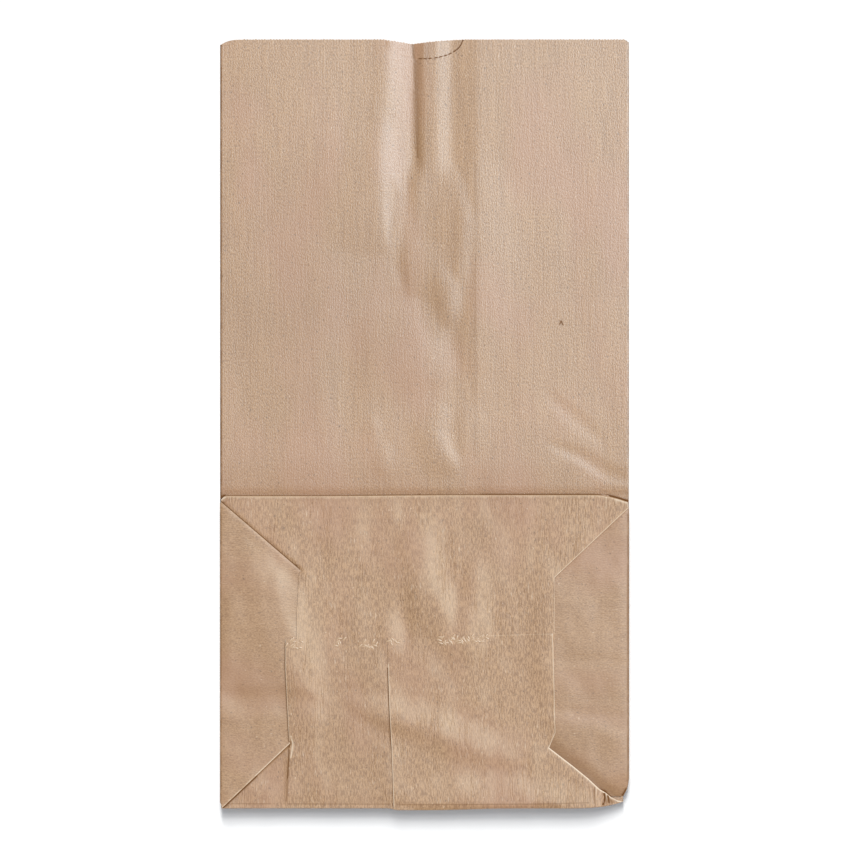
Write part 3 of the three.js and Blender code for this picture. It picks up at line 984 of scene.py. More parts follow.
    def pressed(self, x: np.ndarray, y: np.ndarray) -> np.ndarray:
        """Where the mouth's valley is pressed in: it ends sooner on the right of its bottom."""
        left, right = ramp(*self.valley_end_left, y), ramp(*self.valley_end_right, y)
        return left + (right - left) * ramp(*self.valley_bottom, x)

    def groove(self, x: np.ndarray, y: np.ndarray) -> np.ndarray:
        """The valley pressed in from the mouth, with the ridges on both sides of it."""
        bent = x - self.valley_bend * ramp(336.0, 384.0, y) * ramp(-9.0, -20.0, x)
        return sum(np.interp(bent + shift, GROOVE_X, GROOVE_Z) for shift in GROOVE_BLUR) / len(GROOVE_BLUR)

    def back_height(self, x: np.ndarray, y: np.ndarray) -> np.ndarray:
        """Back panel: on the table, but lifted with the front panel beside the groove at the mouth."""
        level = self.level(Ply.BACK)
        gap = 0.22 + 0.14 * ramp(-4.0, -6.0, x) + 0.2 * ramp(0.0, 16.0, x)
        lifted = np.maximum(self.front_height(x, y) - gap - level, 0.0)
        between = ramp(-25.2, -20.5, x) * ramp(25.0, 19.0, x)
        return level + lifted * between * ramp(325.0, 360.0, y)

    def back_lap_height(self, x: np.ndarray, y: np.ndarray) -> np.ndarray:
        """Left part of the back panel, whose lap lies inside the right part."""
        lap = ramp(self.back_seam_x - 5.0, self.back_seam_x - 0.5, x)
        return self.back_height(x, y) + self.lap_rise * lap

    def block_height(self, x: np.ndarray, y: np.ndarray) -> np.ndarray:
        """Common ground of the turned-up bottom: a low cushion that falls to the side folds."""
        fall = np.clip((np.abs(x) - self.side + self.side_run) / self.side_run, 0.0, 1.0) ** 2
        creases = [mark for mark in BLOCK_MARKS if mark.form is Form.CREASE]
        swell = self.swell(x, y) + self.relief(creases, x, y)
        swell = swell - 0.3 * ramp(9.0, 0.0, y) * ramp(-10.0, -20.0, x)
        corner = np.hypot(x - self.worn_corner[0], y - self.worn_corner[1])
        worn = self.worn_drop * ramp(self.worn_run, 0.0, corner)
        return self.block_top - self.side_drop * fall + swell * (1.0 - fall) - worn

    def swell(self, x: np.ndarray, y: np.ndarray) -> np.ndarray:
        """Soft swells and dents of the turned-up bottom."""
        soft = self.relief([mark for mark in BLOCK_MARKS if mark.form is Form.ROUND], x, y)
        fine = self.swell_fine * uneven(x, y, (9.0, 15.0), 21)
        return soft + fine + self.swell_finest * uneven(x, y, (4.0, 7.0), 22)

    def leaning(self, x: np.ndarray, y: np.ndarray) -> np.ndarray:
        """How much the swells lean to the upper right: 1 is about six degrees."""
        dx, dy = 1.3, 0.7
        drop = self.swell(x - dx, y - dy) - self.swell(x + dx, y + dy)
        return np.clip(drop / (0.2 * math.hypot(dx, dy)), -1.0, 1.0)

    def flank_highlight(self, x: np.ndarray, y: np.ndarray) -> np.ndarray:
        """Painted highlight on the flanks of the swells that lean to the upper right, towards the light."""
        return 0.3 * self.leaning(x, y)

    def front_flap_height(self, x: np.ndarray, y: np.ndarray) -> np.ndarray:
        """Upper flap: over the side strips on the right, and tucked under at the top left corner."""
        level = self.block_height(x, y) + self.paper
        inward = line_distance(self.mitre_top_left, x, y)
        tucked = ramp(0.7, 0.1, inward) * ramp(119.5, 123.0, y) * ramp(-60.5, -63.0, x)
        edge = -line_distance(self.mitre_top_right, x, y)
        rolled = 0.16 * np.exp(-np.maximum(edge, 0.0) / 0.9) * ramp(117.0, 123.0, y)
        return level - (self.tuck + self.tuck_inner * ramp(-80.0, -66.0, x)) * tucked - rolled

    def back_flap_height(self, x: np.ndarray, y: np.ndarray) -> np.ndarray:
        """Lower flap: over the upper one and the right strip, and tucked under at the bottom left corner."""
        level = self.block_height(x, y) + self.paper + 0.28 * ramp(50.0, 80.0, y)
        inward = -line_distance(self.mitre_bottom_left, x, y)
        tucked = ramp(1.1, 0.1, inward) * ramp(36.0, 33.2, y) * ramp(-64.5, -67.5, x)
        edge = -line_distance(self.mitre_bottom_right, x, y)
        rolled = 0.22 * np.exp(-np.maximum(edge, 0.0) / 1.1) * ramp(36.0, 30.0, y)
        return level - (self.tuck + self.tuck_inner * ramp(-82.0, -70.0, x)) * tucked - rolled

    def seam_over(self, x: np.ndarray, y: np.ndarray) -> np.ndarray:
        """Right side of the glued seam, which lies on the lap of the left side."""
        away = -line_distance(self.seam, x, y)
        return self.back_flap_height(x, y) + self.seam_rise * ramp(self.lap_width + 6.0, 2.0, away)

    def seam_under(self, x: np.ndarray, y: np.ndarray) -> np.ndarray:
        """Left side of the glued seam, which runs on under the right side."""
        past = -line_distance(self.seam, x, y)
        return self.back_flap_height(x, y) - self.seam_sink * ramp(-3.0, 1.0, past)

    def left_strip_height(self, x: np.ndarray, y: np.ndarray) -> np.ndarray:
        """Left end strip: over the corners of the flaps and under their tongues."""
        level = self.block_height(x, y) + self.paper - self.under_flap * ramp(-84.0, -67.0, x)
        for mitre, flank in ((self.mitre_top_left, Flank.RIGHT), (self.mitre_bottom_left, Flank.LEFT)):
            edge = flank * line_distance(mitre, x, y)
            level = level - 0.12 * np.exp(-np.maximum(edge, 0.0) / 0.8)
        return level

    def right_strip_height(self, x: np.ndarray, y: np.ndarray) -> np.ndarray:
        """Right end strip: under both flaps, and pressed down along the lower mitre."""
        lower = np.maximum(line_distance(self.mitre_bottom_right, x, y), 0.0)
        upper = np.maximum(line_distance(self.mitre_top_right, x, y), 0.0)
        pressed = 0.75 * np.exp(-((lower / 4.6) ** 2)) * ramp(44.0, 18.0, y)
        pressed = pressed + 0.2 * np.exp(-upper / 1.0) * ramp(112.0, 120.0, y)
        return self.block_height(x, y) - self.under_flap - pressed

    def strip_height(self, side: Side) -> Heights:
        """Height function of one of the end strips."""
        return self.left_strip_height if side is Side.LEFT else self.right_strip_height

    def triangle_height(self, side: Side) -> Heights:
        """Hidden triangle under an end strip."""
        above = self.strip_height(side)
        return lambda x, y: np.minimum(self.level(Ply.BOTTOM_TRIANGLE), above(x, y) - 0.5)

    # Plies and folds

    def fold(
        self,
        line: Sequence[Plan],
        low: Heights,
        high: Heights,
        out: Plan,
        bulge: float | np.ndarray,
        grain: Grain = Grain.ALONG,
        dark: float = -1.0,
        worn: float = 0.4,
        worn_on: float = 0.0,
    ) -> None:
        """Half-round fold that joins the edges of two plies.

        Args:
            line: Where both plies end, in plan.
            low: Height of the lower ply.
            high: Height of the upper ply.
            out: Direction in plan in which the fold stands out.
            bulge: How far it stands out, for all points or for each.
            grain: Direction of the ribs.
            dark: How dark the painted shade on the rim is.
            worn: How worn the fold is, which also paints a highlight along it.
            worn_on: How worn, with its painted highlight, it still is where the upper ply begins.
        """
        plan = np.array(line, float)
        bottom, top = low(plan[:, 0], plan[:, 1]), high(plan[:, 0], plan[:, 1])
        away = np.outer(np.broadcast_to(bulge, len(plan)), np.array(out, float) / math.hypot(*out))
        rows, wear_and_highlight = [], []
        for i in range(self.fold_segments + 1):
            angle = math.pi * (i / self.fold_segments - 0.5)
            middle, half = (top + bottom) / 2, (top - bottom) / 2
            rows.append(np.column_stack([plan + away * math.cos(angle), middle + half * math.sin(angle)]))
            wear_and_highlight.append(worn * math.cos(angle))
        wear_and_highlight[-1] = worn_on
        self.sheet.add_rows(rows, grain, wear_and_highlight, [dark] * len(rows))

    def hem(self, line: Sequence[Plan], height: Heights, flank: Flank, grain: Grain, worn: float) -> None:
        """Folded edge: the ply turns over along a line and runs back a little under itself.

        Args:
            line: Edge of the ply in plan.
            height: Height of the ply.
            flank: Side of the line that the ply lies on.
            grain: Direction of the ribs.
            worn: How worn the edge is, which also paints a highlight along it.
        """
        plan = np.array(line, float)
        top = height(plan[:, 0], plan[:, 1])
        depth, bulge, worn_rows = 0.17, 0.1, 3
        taper, least_run, most_run = 0.6, 0.05, 5.0
        rows, wear_and_highlight = [np.column_stack([plan, top])], [worn]
        for i in range(1, self.fold_segments + 1):
            angle = math.pi * (0.5 - i / self.fold_segments)
            place = np.array(offset_line(line, -flank * bulge * math.cos(angle)))
            rows.append(np.column_stack([place, top - depth / 2 * (1.0 - math.sin(angle))]))
            wear_and_highlight.append(worn if i < worn_rows else 0.0)
        far = np.linalg.norm(plan - plan[0], axis=1)
        run = np.clip(np.minimum(far, far[-1] - far) * taper, least_run, most_run)[:, None]
        inner = plan + run * (np.array(offset_line(line, flank)) - plan)
        rows.append(np.column_stack([inner, height(inner[:, 0], inner[:, 1]) - depth]))
        wear_and_highlight.append(0.0)
        self.sheet.add_rows(rows, grain, wear_and_highlight, [-1.0] * len(rows))

    def add_shown(self, outline: Sequence[Plan], height: Heights, grain: Grain, lines: LineWork,
                  guides: Sequence[Plan], flank_light: Heights | None = None) -> None:
        """Adds a ply of the turned-up bottom that shows, with its painted shade and highlights.

        Args:
            outline: Boundary points in order.
            height: Height over the plan.
            grain: Direction of the ribs.
            lines: Its lines of painted shade and highlight.
            guides: More inner points, beside lines and creases.
            flank_light: Painted highlight over the plan, on the flanks of swells that lean towards the
                light.
        """
        shade = self.darkness(lines)
        self.sheet.add_ply(outline, height, self.fine, grain, guides, shade=shade, worn_and_lit_rims=lines.worn_and_lit_rims, flank_light=flank_light)

    def build_back(self, sides: dict[Side, list[Plan]]) -> None:
        """Back panel in two parts, which meet in the lap seam."""
        bottom = self.bottom_line()
        at = first_from(bottom, self.back_seam_x)
        mouth = self.mouth_line(-self.side, self.side, self.dip)
        left_mouth = [point for point in mouth if point[0] < self.back_seam_x + self.lap_width]
        right_mouth = [point for point in mouth if point[0] > self.back_seam_x + 0.5]
        seam = divide(bottom[at], (self.back_seam_x, self.length - 0.2), self.fold_step)
        lap_start = (self.back_seam_x + self.lap_width, bottom[at][1] + 1.0)
        lap = divide(lap_start, (lap_start[0], left_mouth[-1][1]), self.fold_step)
        left = bottom[: at + 1] + lap + left_mouth[1:-1][::-1] + sides[Side.LEFT][::-1]
        right = bottom[at:] + sides[Side.RIGHT] + right_mouth[:-1][::-1] + seam[1:][::-1]
        shade = self.darkness(self.back_lines())
        guides = grid_of_points((-8.0, 382.0), (21.0, 393.6), 0.5)
        shown = self.open_to_view
        self.sheet.add_ply(left, self.back_lap_height, self.fine, finer=shown, shade=shade)
        self.sheet.add_ply(right, self.back_height, self.fine, guides=guides, finer=shown, shade=shade)

    @staticmethod
    def open_to_view(x: np.ndarray, y: np.ndarray) -> np.ndarray:
        """Where the back panel shows through the notch, or is lifted near it."""
        return (np.abs(x) < 27.0) & (y > 318.0)

    def build_tube(self) -> None:
        """Back and front panels, the two gussets between them, and the folds that close the tube."""
        mouth = {side: float(self.mouth_y(np.array(side * self.side))) for side in Side}
        sides = {side: self.side_line(side, self.wall_low[side], mouth[side]) for side in Side}
        self.build_back(sides)
        turn_line = divide((-self.side, self.turn), (self.side, self.turn), self.fold_step)
        walls = {side: self.side_line(side, self.turn, mouth[side]) for side in Side}
        front_mouth = self.mouth_line(self.side, -self.side, self.notch)
        front = turn_line + walls[Side.RIGHT][1:] + front_mouth[1:-1] + walls[Side.LEFT][::-1][:-1]
        lines = self.front_lines()
        caret = grid_of_points((68.0, 246.6), (72.2, 251.2), 0.4)
        valley = divide((-1.8, 330.0), (-1.8, self.length - 12.0), self.fine)
        guides = line_points(lines.shade_lines, self.fine, caret) + valley
        self.sheet.add_ply(
            front, self.front_height, self.fine, guides=guides, finer=self.busy, shade=self.darkness(lines),
        )
        for side in Side:
            self.build_gusset(side, walls[side], sides[side])

    def busy(self, x: np.ndarray, y: np.ndarray) -> np.ndarray:
        """Where the front panel shows and is buckled, or lies near a fold."""
        calm = (np.abs(x) > 46.0) & (np.abs(x) < self.side - 2.5) & (y > 218.0)
        return (y > self.gusset - 4.0) & ~calm

    def build_gusset(self, side: Side, wall: list[Plan], back_wall: list[Plan]) -> None:
        """One gusset: two halves that meet in a crease, and the side folds to back and front panel."""
        crease_x = side * self.crease_flat
        crease = divide((crease_x, self.turn), (crease_x, self.length), self.fold_step)
        across = self.mouth_line(side * self.side, crease_x, np.zeros_like)
        gusset_back = back_wall + across[1:-1] + crease[::-1]
        gusset_front = wall + across[1:-1] + crease[::-1]
        self.sheet.add_ply(gusset_back, self.flat(Ply.GUSSET_BACK), self.coarse)
        self.sheet.add_ply(gusset_front, self.flat(Ply.GUSSET_FRONT), self.coarse)
        near = self.reach(Ply.BACK, Ply.GUSSET_BACK) - self.paper / 2
        back = self.back_lap_height if side is Side.LEFT else self.back_height
        dark = self.front_fold_shade[side]
        self.fold(back_wall, back, self.flat(Ply.GUSSET_BACK), (side, 0), near)
        self.fold(wall, self.flat(Ply.GUSSET_FRONT), self.front_height, (side, 0), near, dark=dark)
        self.fold(crease, self.flat(Ply.GUSSET_BACK), self.flat(Ply.GUSSET_FRONT), (-side, 0), near)

    def build_turned_up(self) -> None:
        """Hidden plies of the turned-up bottom, and the folds by which they hang on the tube."""
        near = self.reach(Ply.FRONT, Ply.FRONT_TURNED) - self.paper / 2
        turn_line = divide((-self.side, self.turn), (self.side, self.turn), self.fold_step)
        top = self.top_line()
        walls = {side: self.side_line(side, self.turn, self.wall_high[side]) for side in Side}
        turned = turn_line + walls[Side.RIGHT][1:] + top[::-1] + walls[Side.LEFT][::-1][:-1]
        self.sheet.add_ply(turned, self.flat(Ply.FRONT_TURNED), self.coarse)
        self.fold(turn_line, self.front_height, self.flat(Ply.FRONT_TURNED), (0, -1), near)
        for side, wall in walls.items():
            tip = (side * (self.crease + 4.0), self.turn + 1.0)
            apron = wall + polyline([wall[-1], tip, wall[0]], self.coarse)[1:-1]
            self.sheet.add_ply(apron, self.flat(Ply.GUSSET_TURNED), self.coarse)
            self.fold(wall, self.flat(Ply.FRONT_TURNED), self.flat(Ply.GUSSET_TURNED), (side, 0), near)
            edge = self.side_line(side, self.wall_low[side], self.wall_high[side])
            triangle = edge + polyline([edge[-1], tip, edge[0]], self.coarse)[1:-1]
            under, over = self.triangle_height(side), self.strip_height(side)
            self.sheet.add_ply(triangle, under, self.coarse)
            self.fold(edge, under, over, (side, 0), near, Grain.ACROSS, self.strip_fold_shade[side])
        bulge = self.top_inset(np.array(top)[:, 0]) - self.paper / 2
        self.fold(
            top, self.flat(Ply.FRONT_TURNED), self.front_flap_height, (0, 1), bulge, worn=0.35, worn_on=0.5,
        )
        bottom = self.bottom_line()
        at = first_from(bottom, self.back_seam_x)
        bulge = self.bottom_inset(np.array(bottom)[:, 0]) - self.paper / 2
        self.fold(bottom[: at + 1], self.back_lap_height, self.seam_under, (0, -1), bulge[: at + 1])
        self.fold(bottom[at:], self.back_height, self.seam_over, (0, -1), bulge[at:])

    def build_left_strip(self) -> None:
        """The end strip that is folded in from the left, over the corners of the flaps."""
        edge = self.side_line(Side.LEFT, self.wall_low[Side.LEFT], self.wall_high[Side.LEFT])
        top = polyline(self.mitre_top_left, self.fine)
        bottom = polyline(self.mitre_bottom_left, self.fine)
        hidden = polyline([top[-1], (-50.0, 118.0), (-50.0, 38.0), bottom[-1]], self.coarse)
        outline = edge[::-1] + bottom + hidden[::-1][1:-1] + top[::-1]
        lines = self.left_strip_lines()
        guides = line_points((*lines.shade_lines, *lines.worn_and_lit_rims), self.fine)
        self.add_shown(outline, self.left_strip_height, Grain.ACROSS, lines, guides, self.flank_highlight)
        self.hem(top, self.left_strip_height, Flank.RIGHT, Grain.ACROSS, worn=0.1)
        self.hem(bottom, self.left_strip_height, Flank.LEFT, Grain.ACROSS, worn=0.6)

    def build_right_strip(self) -> None:
        """The end strip that is folded in from the right, under the corners of the flaps."""
        edge = self.side_line(Side.RIGHT, self.wall_low[Side.RIGHT], self.wall_high[Side.RIGHT])
        corners = [edge[-1], (90.0, 150.0), (50.0, 112.0), (50.0, 34.0), (88.0, 5.8), edge[0]]
        outline = edge + polyline(corners, self.fine)[1:-1]
        lines = self.right_strip_lines()
        crushed = grid_of_points((94.0, 5.0), (104.5, 14.0), 0.6)
        guides = line_points(lines.shade_lines[:2], self.fine, crushed)
        self.add_shown(outline, self.right_strip_height, Grain.ACROSS, lines, guides)

    def build_front_flap(self) -> None:
        """The upper flap with its tongue, mitred on the right and tucked under on the left."""
        hinge = self.top_line()
        mitre = polyline(self.mitre_top_right, self.fine)
        tongue = polyline(self.front_tongue, self.fine)
        corner = polyline([tongue[-1], (-69.0, 123.4), (-103.9, 151.0), hinge[0]], self.fine)
        outline = hinge[::-1] + corner[::-1][1:-1] + tongue[::-1] + mitre[::-1][1:]
        lines = self.front_flap_lines()
        guides = line_points((*lines.shade_lines, *lines.worn_and_lit_rims), self.fine)
        self.add_shown(outline, self.front_flap_height, Grain.HANDLED, lines, guides, self.flank_highlight)
        self.hem(mitre, self.front_flap_height, Flank.RIGHT, Grain.HANDLED, worn=0.62)

    def build_back_flap(self) -> None:
        """The lower flap in two parts, which meet in the seam, with its tongues, mitre and tucked corner."""
        hinge = self.bottom_line()
        at = first_from(hinge, self.back_seam_x)
        mitre = polyline(self.mitre_bottom_right, self.fine)
        seam = polyline((hinge[at], *self.seam[1:]), self.fine)
        left_tongue = polyline(self.back_tongue_left, self.fine)
        cut = polyline(self.cut_end, self.fine)
        split = first_from(cut, self.seam[-1][0])
        right_tongue = polyline(self.back_tongue_right, self.fine)
        corner = polyline([hinge[0], (-103.9, 7.0), (-75.0, 32.2), left_tongue[0]], self.fine)
        lap = offset_line(seam, -self.lap_width)
        lap[0] = (lap[0][0], lap[0][1] + 1.0)
        left = hinge[: at + 1][::-1] + corner[1:-1] + left_tongue + cut[1: split + 1] + lap[::-1]
        lines = self.left_flap_lines()
        guides = line_points((*lines.shade_lines, *lines.worn_and_lit_rims), self.fine)
        self.add_shown(left, self.seam_under, Grain.HANDLED, lines, guides, self.flank_highlight)
        right = hinge[at:] + mitre[::-1] + right_tongue[::-1][1:] + cut[split:][::-1][1:] + seam[::-1][1:-1]
        lines = self.right_flap_lines()
        crushed = grid_of_points((85.0, 2.0), (103.0, 13.0), 0.5)
        guides = line_points((lines.shade_lines[0], *lines.worn_and_lit_rims[:4]), self.fine, crushed)
        self.add_shown(right, self.seam_over, Grain.HANDLED, lines, guides, self.flank_highlight)
        self.hem(mitre, self.seam_over, Flank.RIGHT, Grain.HANDLED, worn=0.85)

    def thread(self, line: Sequence[Plan], height: Heights, lift: float) -> list[Point]:
        """Line in the row frame, in metres, that lies on a ply."""
        plan = np.array(line, float)
        z = height(plan[:, 0], plan[:, 1]) + lift
        return [(x * MM, (y - self.length / 2) * MM, h * MM) for (x, y), h in zip(plan.tolist(), z.tolist())]

    def crinkle_lines(self) -> list[list[Point]]:
        """Where glue has puckered the paper along the cut end of the lower flap."""
        left = (
            ((-69.6, 85.4), (-63.5, 84.0)), ((-45.5, 85.6), (-42.5, 85.2)), ((-31.0, 85.4), (-25.0, 83.4)),
        )
        right = (((-18.0, 85.8), (-14.0, 84.8)), ((7.0, 86.6), (31.0, 87.4)))
        step, lift = 1.0, 0.06
        return [
            self.thread(divide(*span, step), height, lift)
            for height, spans in ((self.seam_under, left), (self.seam_over, right))
            for span in spans
        ]

    def tooth_lines(self) -> list[list[Point]]:
        """The sawn edges of the mouth."""
        rest = self.notch_width / 2 + 1.0
        left = self.mouth_line(-self.side + 12.0, -rest, np.zeros_like)
        right = self.mouth_line(rest, self.side - 2.5, np.zeros_like)
        middle = self.mouth_line(-24.0, 24.0, self.dip)
        fronts = [self.thread(line, self.front_height, 0.0) for line in (left, right)]
        return fronts + [self.thread(middle, self.back_height, 0.0)]

    def build(self) -> bpy.types.Object:
        """Builds every ply and fold and makes them one piece of paper."""
        self.build_tube()
        self.build_turned_up()
        self.build_left_strip()
        self.build_right_strip()
        self.build_front_flap()
        self.build_back_flap()
        return self.sheet.build("folded_sheet", self.paper, -self.length / 2)


class NodeDesk:
    """Shorthand for filling a node tree."""

    def __init__(self, tree: bpy.types.NodeTree) -> None:
        """Takes the tree to fill."""
        self.tree = tree

    def sockets(self, way: str, kinds: dict[str, str]) -> None:
        """Adds named sockets to a group, as its INPUT or its OUTPUT."""
        for name, kind in kinds.items():
            self.tree.interface.new_socket(name, in_out=way, socket_type="NodeSocket" + kind)

    def feed(self, socket: bpy.types.NodeSocket, value: object) -> None:
        """Links an input to another node's output, or sets it to a plain value."""
        if isinstance(value, bpy.types.NodeSocket):
            self.tree.links.new(value, socket)
        else:
            socket.default_value = value

    def node(self, kind: str, inputs: dict[str | int, object] | None = None,
             **settings: object) -> bpy.types.Node:
        """Adds a node.

        Args:
            kind: Blender's name for it.
            inputs: Outputs or plain values that feed its inputs, by name or number.
            **settings: Its own settings, which are made first.

        Returns:
            The node.
        """
        made = self.tree.nodes.new(kind)
        for name, value in settings.items():
            setattr(made, name, value)
        for key, value in (inputs or {}).items():
            self.feed(made.inputs[key], value)
        return made

    def sum(self, operation: str, *values: object) -> bpy.types.NodeSocket:
        """One sum on outputs or plain numbers."""
        return self.node("ShaderNodeMath", dict(enumerate(values)), operation=operation).outputs["Value"]

    def between(self, value: bpy.types.NodeSocket, start: float, end: float) -> bpy.types.NodeSocket:
        """Rise from 0 to 1 between two values."""
        inputs = {"Value": value, "From Min": start, "From Max": end}
        return self.node("ShaderNodeMapRange", inputs).outputs["Result"]

    def mix(self, first: object, second: object, share: bpy.types.NodeSocket,
            kind: str = "RGBA") -> bpy.types.NodeSocket:
        """Mix of two colours, or of two values where the kind is FLOAT."""
        inputs = {"A": first, "B": second, "Factor": share}
        return self.node("ShaderNodeMix", inputs, data_type=kind).outputs["Result"]


@dataclass(frozen=True)
class Sprinkle:
    """Small bits set along lines with Geometry Nodes: half sizes and distances in millimetres."""

    name: str
    pitch: float
    half_length: float
    half_width: float
    half_height: float
    jitter: float
    turn: float
    worn: float
    seed: int

    def tree(self) -> bpy.types.NodeTree:
        """Node tree that sets rounded bits along a line; shared by all sprinkles."""
        known = bpy.data.node_groups.get("bits_along_line")
        if known:
            return known
        desk = NodeDesk(bpy.data.node_groups.new("bits_along_line", "GeometryNodeTree"))
        sizes = ("Pitch", "Half Length", "Half Width", "Half Height", "Jitter", "Turn", "Worn")
        desk.sockets("INPUT", {"Geometry": "Geometry", **dict.fromkeys(sizes, "Float")})
        desk.sockets("INPUT", {"Seed": "Int", "Material": "Material"})
        desk.sockets("OUTPUT", {"Geometry": "Geometry"})
        given = desk.node("NodeGroupInput").outputs

        def spread(amount: str, seed_shift: int) -> bpy.types.NodeSocket:
            """Random number between minus and plus an input."""
            random = desk.node("FunctionNodeRandomValue", data_type="FLOAT")
            sockets = {socket.identifier: socket for socket in random.inputs}
            desk.feed(sockets["Min_001"], desk.sum("MULTIPLY", given[amount], -1.0))
            desk.feed(sockets["Max_001"], given[amount])
            desk.feed(sockets["Seed"], desk.sum("ADD", given["Seed"], seed_shift))
            return random.outputs[1]

        curve = desk.node("GeometryNodeMeshToCurve", {0: given["Geometry"]})
        spaced = {"Curve": curve.outputs[0], "Length": given["Pitch"]}
        even = desk.node("GeometryNodeResampleCurve", spaced, mode="LENGTH")
        offset = desk.node("ShaderNodeCombineXYZ", {"X": spread("Jitter", 1), "Y": spread("Jitter", 2)})
        shifted = {"Geometry": even.outputs[0], "Offset": offset.outputs[0]}
        moved = desk.node("GeometryNodeSetPosition", shifted)
        bit = desk.node("GeometryNodeMeshIcoSphere", {"Radius": 1.0, "Subdivisions": 2})
        halves = {"X": given["Half Length"], "Y": given["Half Width"], "Z": given["Half Height"]}
        size = desk.node("ShaderNodeCombineXYZ", halves)
        angle = desk.node("ShaderNodeCombineXYZ", {"Z": spread("Turn", 3)})
        placed = desk.node("GeometryNodeInstanceOnPoints", {
            "Points": moved.outputs[0],
            "Instance": bit.outputs["Mesh"],
            "Scale": size.outputs[0],
            "Rotation": angle.outputs[0],
        })
        kept = desk.node("GeometryNodeRealizeInstances", {0: placed.outputs[0]}).outputs[0]
        # Worn goes into the wear attribute, which also paints a highlight, so the bits come out paler
        for name, domain, value in (("fold_wear_and_highlight", "POINT", given["Worn"]), ("ribbed", "FACE", 1.0)):
            carried = {"Geometry": kept, "Name": name, "Value": value}
            store = desk.node("GeometryNodeStoreNamedAttribute", carried, data_type="FLOAT", domain=domain)
            kept = store.outputs["Geometry"]
        paint = desk.node("GeometryNodeSetMaterial", {"Geometry": kept, "Material": given["Material"]})
        desk.node("NodeGroupOutput", {0: paint.outputs[0]})
        return desk.tree

    def build(self, lines: Sequence[Sequence[Point]], material: bpy.types.Material) -> bpy.types.Object:
        """Sets the bits along lines and makes them a plain mesh.

        Args:
            lines: Points in metres, line by line.
            material: Material of the bits.

        Returns:
            A plain mesh object at the origin.
        """
        points = [point for line in lines for point in line]
        edges, start = [], 0
        for line in lines:
            edges += [(start + i, start + i + 1) for i in range(len(line) - 1)]
            start += len(line)
        mesh = bpy.data.meshes.new(self.name + "_lines")
        mesh.from_pydata(points, edges, [])
        carrier = bpy.data.objects.new(self.name + "_lines", mesh)
        bpy.context.scene.collection.objects.link(carrier)
        modifier = carrier.modifiers.new("bits", "NODES")
        modifier.node_group = self.tree()
        values = {
            "Pitch": self.pitch * MM,
            "Half Length": self.half_length * MM,
            "Half Width": self.half_width * MM,
            "Half Height": self.half_height * MM,
            "Jitter": self.jitter * MM,
            "Turn": self.turn,
            "Worn": self.worn,
            "Seed": self.seed,
            "Material": material,
        }
        for item in modifier.node_group.interface.items_tree:
            if item.in_out == "INPUT" and item.name in values:
                modifier[item.identifier] = values[item.name]
        return plain_copy(carrier, self.name)


CRINKLES = Sprinkle(
    "glue_crinkles", pitch=0.6, half_length=1.5, half_width=0.55, half_height=0.25, jitter=2.0, turn=1.3,
    worn=0.36, seed=11,
)
TEETH = Sprinkle(
    "mouth_teeth", pitch=1.5, half_length=0.42, half_width=0.3, half_height=0.07, jitter=0.12, turn=0.1,
    worn=0.2, seed=5,
)


def join(target: bpy.types.Object, others: Sequence[bpy.types.Object]) -> None:
    """Makes several mesh objects one."""
    with bpy.context.temp_override(
        active_object=target, object=target, selected_objects=[target, *others],
        selected_editable_objects=[target, *others],
    ):
        bpy.ops.object.join()


